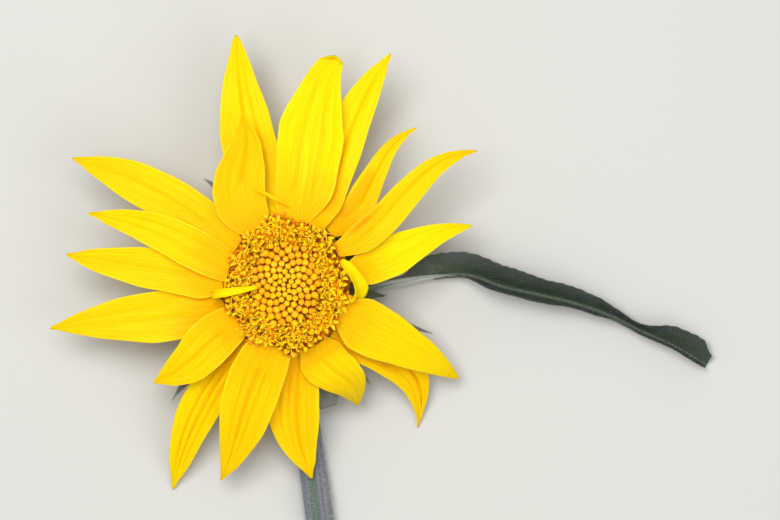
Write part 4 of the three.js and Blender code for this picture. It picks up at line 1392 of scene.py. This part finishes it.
def stem_path():
    """The stem's middle line: along the floor from the cut, then up round the neck."""
    away = unit(np.array([STEM_SIDEWAYS_SLOPE, -1, 0.0]))
    run_length = STEM_LENGTH_FROM_HEAD - NECK_BEND_RADIUS
    bend_length = math.pi / 2 * NECK_BEND_RADIUS
    upright_length = NECK_TOP - STEM_RADIUS_AT_NECK - NECK_BEND_RADIUS
    run_share = run_length / (run_length + bend_length + upright_length)
    stations = []
    for share in np.linspace(0, 1, 11):
        distance = STEM_LENGTH_FROM_HEAD - run_length * share
        height = STEM_RADIUS_AT_CUT + (STEM_RADIUS_AT_NECK - STEM_RADIUS_AT_CUT) * share
        stations.append(away * distance + UP * height)
    for angle in np.linspace(0, math.pi / 2, 7)[1:]:
        distance = NECK_BEND_RADIUS * (1 - math.sin(angle))
        rise = NECK_BEND_RADIUS * (1 - math.cos(angle))
        stations.append(away * distance + UP * (STEM_RADIUS_AT_NECK + rise))
    stations.append(UP * (NECK_TOP - upright_length / 2))
    stations.append(UP * NECK_TOP)
    return smooth_path(stations), np.cross(UP, away), run_share


def make_stem(hairs):
    """The stem, with ribs, a cut face at its foot and a flare under the head."""
    random = np.random.default_rng(11)
    path, sideways, run_share = stem_path()
    rows, around = 220, 6 * STEM_RIBS
    v = np.linspace(0, 1, rows)
    places, headings = along_path(path, v)
    above = np.cross(sideways, headings)
    turn = np.linspace(0, 2 * np.pi, around, endpoint=False)
    widening = STEM_RADIUS_AT_NECK - STEM_RADIUS_AT_CUT
    run_radius = STEM_RADIUS_AT_CUT + widening * np.minimum(1, v / run_share)
    flare = STEM_FLARE_AT_HEAD * smoothstep(v, 0.92, 1)
    rib = 0.5 + 0.5 * np.cos(STEM_RIBS * turn[None, :] + 0.5 * np.sin(6 * v)[:, None])
    wander = 0.1 * np.sin(9 * v[:, None] + turn[None, :] * 2) * smoothstep(v, 0, 0.1)[:, None]
    radius = (run_radius + flare)[:, None] - 0.2 * (1 - rib) ** 1.5 - 0.1 + np.minimum(wander, 0)
    ring = sideways * np.cos(turn)[None, :, None] + above[:, None] * np.sin(turn)[None, :, None]
    skin = places[:, None] + ring * radius[..., None]
    points = skin.reshape(-1, 3)
    points[:, 2] = np.maximum(points[:, 2], FLOOR_CLEARANCE)
    faces = tube_faces(rows, around)
    strand = np.stack(np.broadcast_arrays(turn[None, :] * 4.5, v[:, None] * 100, 0.0), axis=-1)
    marks_rib, marks_strand = rib.ravel(), strand.reshape(-1, 3)
    marks_band = np.tile(np.exp(-(((turn - np.pi / 2 - 0.15) / 0.42) ** 2)), rows)
    slots = [0] * len(faces)
    # The cut face: rings that close in on the stem's middle.
    cut_rings = np.linspace(0.96, 0.0, 8)
    extra, extra_rib, extra_strand = [], [], []
    start = len(points)
    for share in cut_rings:
        count = around if share > 0 else 1
        for step in range(count):
            inward = ring[0, step] * radius[0, step] * share
            extra.append(places[0] + inward - headings[0] * 0.02 * (share > 0.9))
            extra_rib.append(share)
            extra_strand.append((inward @ sideways + 300, inward[2], 0))
    before = 0
    for index, share in enumerate(cut_rings):
        after = start + index * around
        for step in range(around):
            following = (step + 1) % around
            if share > 0:
                faces.append((before + following, before + step, after + step, after + following))
            else:
                faces.append((before + following, before + step, after))
            slots.append(1)
        before = after
    points = np.concatenate([points, np.array(extra)])
    marks = {
        "rib": np.concatenate([marks_rib, extra_rib]),
        "band": np.concatenate([marks_band, np.zeros(len(extra))]),
        "strand": np.concatenate([marks_strand, np.array(extra_strand)]),
    }
    piece = make_piece("stem_skin", points, faces, [stem_green, cut_pith], marks, slots)
    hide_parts("stem")
    rows_picked = random.integers(1, rows - 14, STEM_HAIRS)
    steps_picked = random.integers(0, around, STEM_HAIRS)
    roots = skin[rows_picked, steps_picked]
    directions = ring[rows_picked, steps_picked] - headings[rows_picked] * 0.3
    clear = roots[:, 2] > 0.7
    roots, directions = roots[clear], leaning(unit(directions[clear]), random, 0.14)
    directions[:, 2] = np.maximum(directions[:, 2], -0.5)
    lengths = np.minimum(random.uniform(0.6, 1.8, len(roots)), roots[:, 2])
    add_hairs(hairs, roots, directions, lengths, STEM_HAIR_RADIUS)


def across_floor(headings):
    """Level directions to the left of headings."""
    return unit(np.cross(UP, headings))


def make_stalk(hairs):
    """The leaf's stalk, with a channel along its upper side, and the midrib that it runs on into."""
    random = np.random.default_rng(13)
    path = smooth_path(STALK_STATIONS + KEEL_STATIONS[1:3])
    blade_starts = path_length(smooth_path(STALK_STATIONS)) / path_length(path)
    rows, around = 130, 28
    v = np.linspace(0, 1, rows)
    places, headings = along_path(path, v)
    across = unit(np.cross(headings, UP))
    above = np.cross(across, headings)
    turn = np.linspace(0, 2 * np.pi, around, endpoint=False)
    channel = np.exp(-(((turn - np.pi / 2) / 0.42) ** 2))
    radii = [STALK_RADIUS_AT_STEM, STALK_RADIUS_AT_BLADE, STALK_RADIUS_AT_END]
    base = np.interp(v, [0, blade_starts, 1], radii)
    aside = 0.15 * smoothstep(v, 0.2, blade_starts) - 0.55 * smoothstep(v, blade_starts, 1)
    places = places + across_floor(headings) * aside[:, None]
    radius = base[:, None] * (1 - 0.32 * channel[None, :]) + 0.05 * np.sin(turn * 7)[None, :]
    ring = across[:, None] * np.cos(turn)[None, :, None] + above[:, None] * np.sin(turn)[None, :, None]
    skin = places[:, None] + ring * radius[..., None]
    points = np.concatenate([skin.reshape(-1, 3), places[:1], places[-1:]])
    last, foot = (rows - 1) * around, rows * around
    faces = tube_faces(rows, around)
    faces += cap_faces(0, around, foot, upward=False) + cap_faces(last, around, foot + 1)
    # A pale strip where the blade starts: partly the stalk's own pale colour, partly painted light against
    # the rays' shadow.
    pale_lit = smoothstep(v, blade_starts - 0.25, blade_starts + 0.04)
    pale_lit = pale_lit * (1 - 0.45 * smoothstep(v, blade_starts + 0.1, 1))
    rib = np.broadcast_to(0.5 + 0.5 * np.cos(turn * 7)[None, :], (rows, around))
    strand = np.stack(np.broadcast_arrays(turn[None, :] * 2 + 500, v[:, None] * 40, 0.0), axis=-1)
    marks = {
        "rib": np.append(rib.ravel(), [0.5, 0.5]),
        "pale_lit": np.append(np.repeat(pale_lit, around), [0, 0]),
        "strand": np.concatenate([strand.reshape(-1, 3), [[500, 0, 0], [500, 40, 0]]]),
    }
    piece = make_piece("leaf_stalk_skin", points, faces, [stalk_grey], marks)
    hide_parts("leaf_stalk")
    rows_picked = random.integers(1, rows // 2, STALK_HAIRS)
    steps_picked = random.integers(0, around, STALK_HAIRS)
    directions = leaning(unit(ring[rows_picked, steps_picked] + headings[rows_picked] * 0.2), random, 0.25)
    lengths = random.uniform(0.4, 1.0, STALK_HAIRS)
    add_hairs(hairs, skin[rows_picked, steps_picked], directions, lengths, STALK_HAIR_RADIUS)


# Leaf

def leaf_size(shares, sizes):
    """A size of the leaf, eased between its stations."""
    after = np.clip(np.searchsorted(LEAF_SHARE, shares), 1, len(LEAF_SHARE) - 1)
    stations, values = np.array(LEAF_SHARE, float), np.array(sizes, float)
    share = smoothstep(shares, stations[after - 1], stations[after])
    return values[after - 1] + (values[after] - values[after - 1]) * share


def make_leaf(hairs):
    """The blade, folded along its midrib, with raised veins and a faintly toothed margin."""
    random = np.random.default_rng(17)
    rows, columns = 196, 61
    path = smooth_path(LEAF_WING + KEEL_STATIONS)
    length = path_length(smooth_path(KEEL_STATIONS))
    wing = path_length(path) - length
    v = np.linspace(-wing / length, 1, rows)
    w = np.linspace(-1, 1, columns)
    places, headings = along_path(path, np.linspace(0, 1, rows))
    across = unit(np.cross(UP, headings))
    side = np.sign(w)[None, :]
    lean = np.where(side > 0, leaf_size(v, LEAF_FAR_LEAN)[:, None], leaf_size(v, LEAF_NEAR_LEAN)[:, None])
    bend = np.pi / 2 - np.radians(lean)
    teeth = 1 + 0.018 * np.sin(v * length * 1.9)[:, None] * np.abs(w)[None, :] ** 6
    half = np.where(side > 0, leaf_size(v, LEAF_FAR_HALF)[:, None], leaf_size(v, LEAF_NEAR_HALF)[:, None])
    half = half * (1 - (1 - LEAF_WING_SHARE) * smoothstep(-v, 0, wing / length))[:, None]
    run = np.abs(w)[None, :] ** 1.4 * half * teeth
    bent = np.minimum(run / LEAF_KEEL_RADIUS, bend)
    straight = run - bent * LEAF_KEEL_RADIUS
    out = LEAF_KEEL_RADIUS * np.sin(bent) + straight * np.cos(bent)
    rise = LEAF_KEEL_RADIUS * (1 - np.cos(bent)) + straight * np.sin(bent)
    middle = places[:, None] + across[:, None] * (side * out)[..., None] + UP * rise[..., None]
    normals = grid_normals(middle)
    along_mm = v[:, None] * length
    quilt = np.cos((along_mm - run * LEAF_VEIN_SLANT) * 2 * np.pi / LEAF_VEIN_STEP)
    quilt = quilt * smoothstep(run, 1.0, 4.0)
    wave = np.sin(along_mm * 0.33 + side * 1.2) * (np.abs(w)[None, :] ** 3)
    relief = 0.04 * quilt + 0.2 * wave * smoothstep(v, 0.05, 0.2)[:, None]
    middle = middle + normals * relief[..., None]
    middle[..., 2] = np.maximum(middle[..., 2], 0.45)
    thick = LEAF_THICKNESS * (0.35 + 0.65 * np.exp(-((run / 1.3) ** 2)))
    points, faces = closed_sheet(middle, thick)
    points[:, 2] = np.maximum(points[:, 2], FLOOR_CLEARANCE)
    along_mm = along_mm + 0 * run
    marks = {
        "across": on_both_skins(w + 0 * run),
        "reach": on_both_skins(run),
        "run": on_both_skins(along_mm),
        "upper": np.repeat([1.0, 0.0], rows * columns),
        "strand": on_both_skins(np.stack([side * run + 700, along_mm, 0 * run], axis=-1)),
    }
    piece = make_piece("leaf_blade_skin", points, faces, [leaf_green], marks)
    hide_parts("leaf_blade")
    roots, directions = [], []
    for _ in range(LEAF_EDGE_HAIRS):
        row = random.integers(1, rows - 1)
        edge = random.choice([0, columns - 1])
        inner = 1 if edge == 0 else columns - 2
        roots.append(middle[row, edge])
        directions.append(middle[row, edge] - middle[row, inner] + random.normal(0, 0.05, 3))
    for _ in range(LEAF_FACE_HAIRS):
        row, column = random.integers(1, rows - 1), random.integers(1, columns - 1)
        facing = random.choice([-1, 1])
        roots.append(middle[row, column])
        directions.append(normals[row, column] * facing)
    roots = np.array(roots)
    directions = leaning(unit(np.array(directions)), random, 0.2)
    clear = roots[:, 2] > 0.9
    lengths = random.uniform(0.3, 0.8, len(roots))
    add_hairs(hairs, roots[clear], directions[clear], lengths[clear], LEAF_HAIR_RADIUS)


# Floor, light and camera

def make_floor():
    """A pale floor, just under the height where the bloom stands."""
    mesh = bpy.data.meshes.new("floor")
    turns = ((-1, -1), (1, -1), (1, 1), (-1, 1))
    corners = [(FLOOR_HALF * x, FLOOR_HALF * y, 0) for x, y in turns]
    mesh.from_pydata(corners, [], [(0, 1, 2, 3)])
    finish = Finish("pale_floor", roughness=0.9, specular_ior_level=0.1, base_color=(*rgb(204, 204, 200), 1))
    mesh.materials.append(finish.material)
    floor = bpy.data.objects.new("floor", mesh)
    bpy.context.scene.collection.objects.link(floor)
    floor.location.z = -0.0001


def make_light(name, place, size, power):
    """A soft square lamp that faces the bloom."""
    lamp = bpy.data.lights.new(name, "AREA")
    lamp.shape = "SQUARE"
    lamp.size = size
    lamp.energy = power
    light = bpy.data.objects.new(name, lamp)
    light.location = place
    light.rotation_euler = (Vector(LAMP_AIM) - Vector(place)).to_track_quat("-Z", "Y").to_euler()
    bpy.context.scene.collection.objects.link(light)


def make_world():
    """A soft white sky."""
    world = bpy.data.worlds.new("studio")
    world.use_nodes = True
    background = world.node_tree.nodes["Background"]
    background.inputs["Color"].default_value = (*rgb(255, 254, 250), 1)
    background.inputs["Strength"].default_value = 0.46
    bpy.context.scene.world = world


def make_camera():
    """Straight above, far off with a long lens, with the photograph's framing."""
    camera_data = bpy.data.cameras.new("camera")
    camera_data.sensor_width = 36
    camera_data.lens = camera_data.sensor_width * CAMERA_DISTANCE / (PHOTO_WIDTH * PHOTO_PIXEL)
    camera_data.clip_end = 10
    camera = bpy.data.objects.new("camera", camera_data)
    right = (PHOTO_WIDTH / 2 - HEAD_IN_PHOTO[0]) * PHOTO_PIXEL
    up = (HEAD_IN_PHOTO[1] - PHOTO_HEIGHT / 2) * PHOTO_PIXEL
    camera.location = (HEAD_X + right, HEAD_Y + up, HEAD_HEIGHT + CAMERA_DISTANCE)
    bpy.context.scene.collection.objects.link(camera)
    bpy.context.scene.camera = camera


bpy.context.scene.view_settings.view_transform = "Standard"
make_camera()
make_world()
make_floor()
make_light("key_light", (-0.2, 0.22, 1.0), 0.5, 8.1)
make_light("fill_light", (0.5, -0.35, 0.85), 0.8, 3.1)

for index, ray in enumerate(RAYS):
    make_ray(ray, index)
for index, ray in enumerate(SMALL_RAYS):
    make_small_ray(ray, index)
make_buds()
make_open_florets()
make_disc_floor()
make_receptacle()

green_hairs = Gathered(white_hair)
make_bracts(green_hairs)
make_stem(green_hairs)
make_stalk(green_hairs)
make_leaf(green_hairs)
green_hairs.piece("green_hairs")
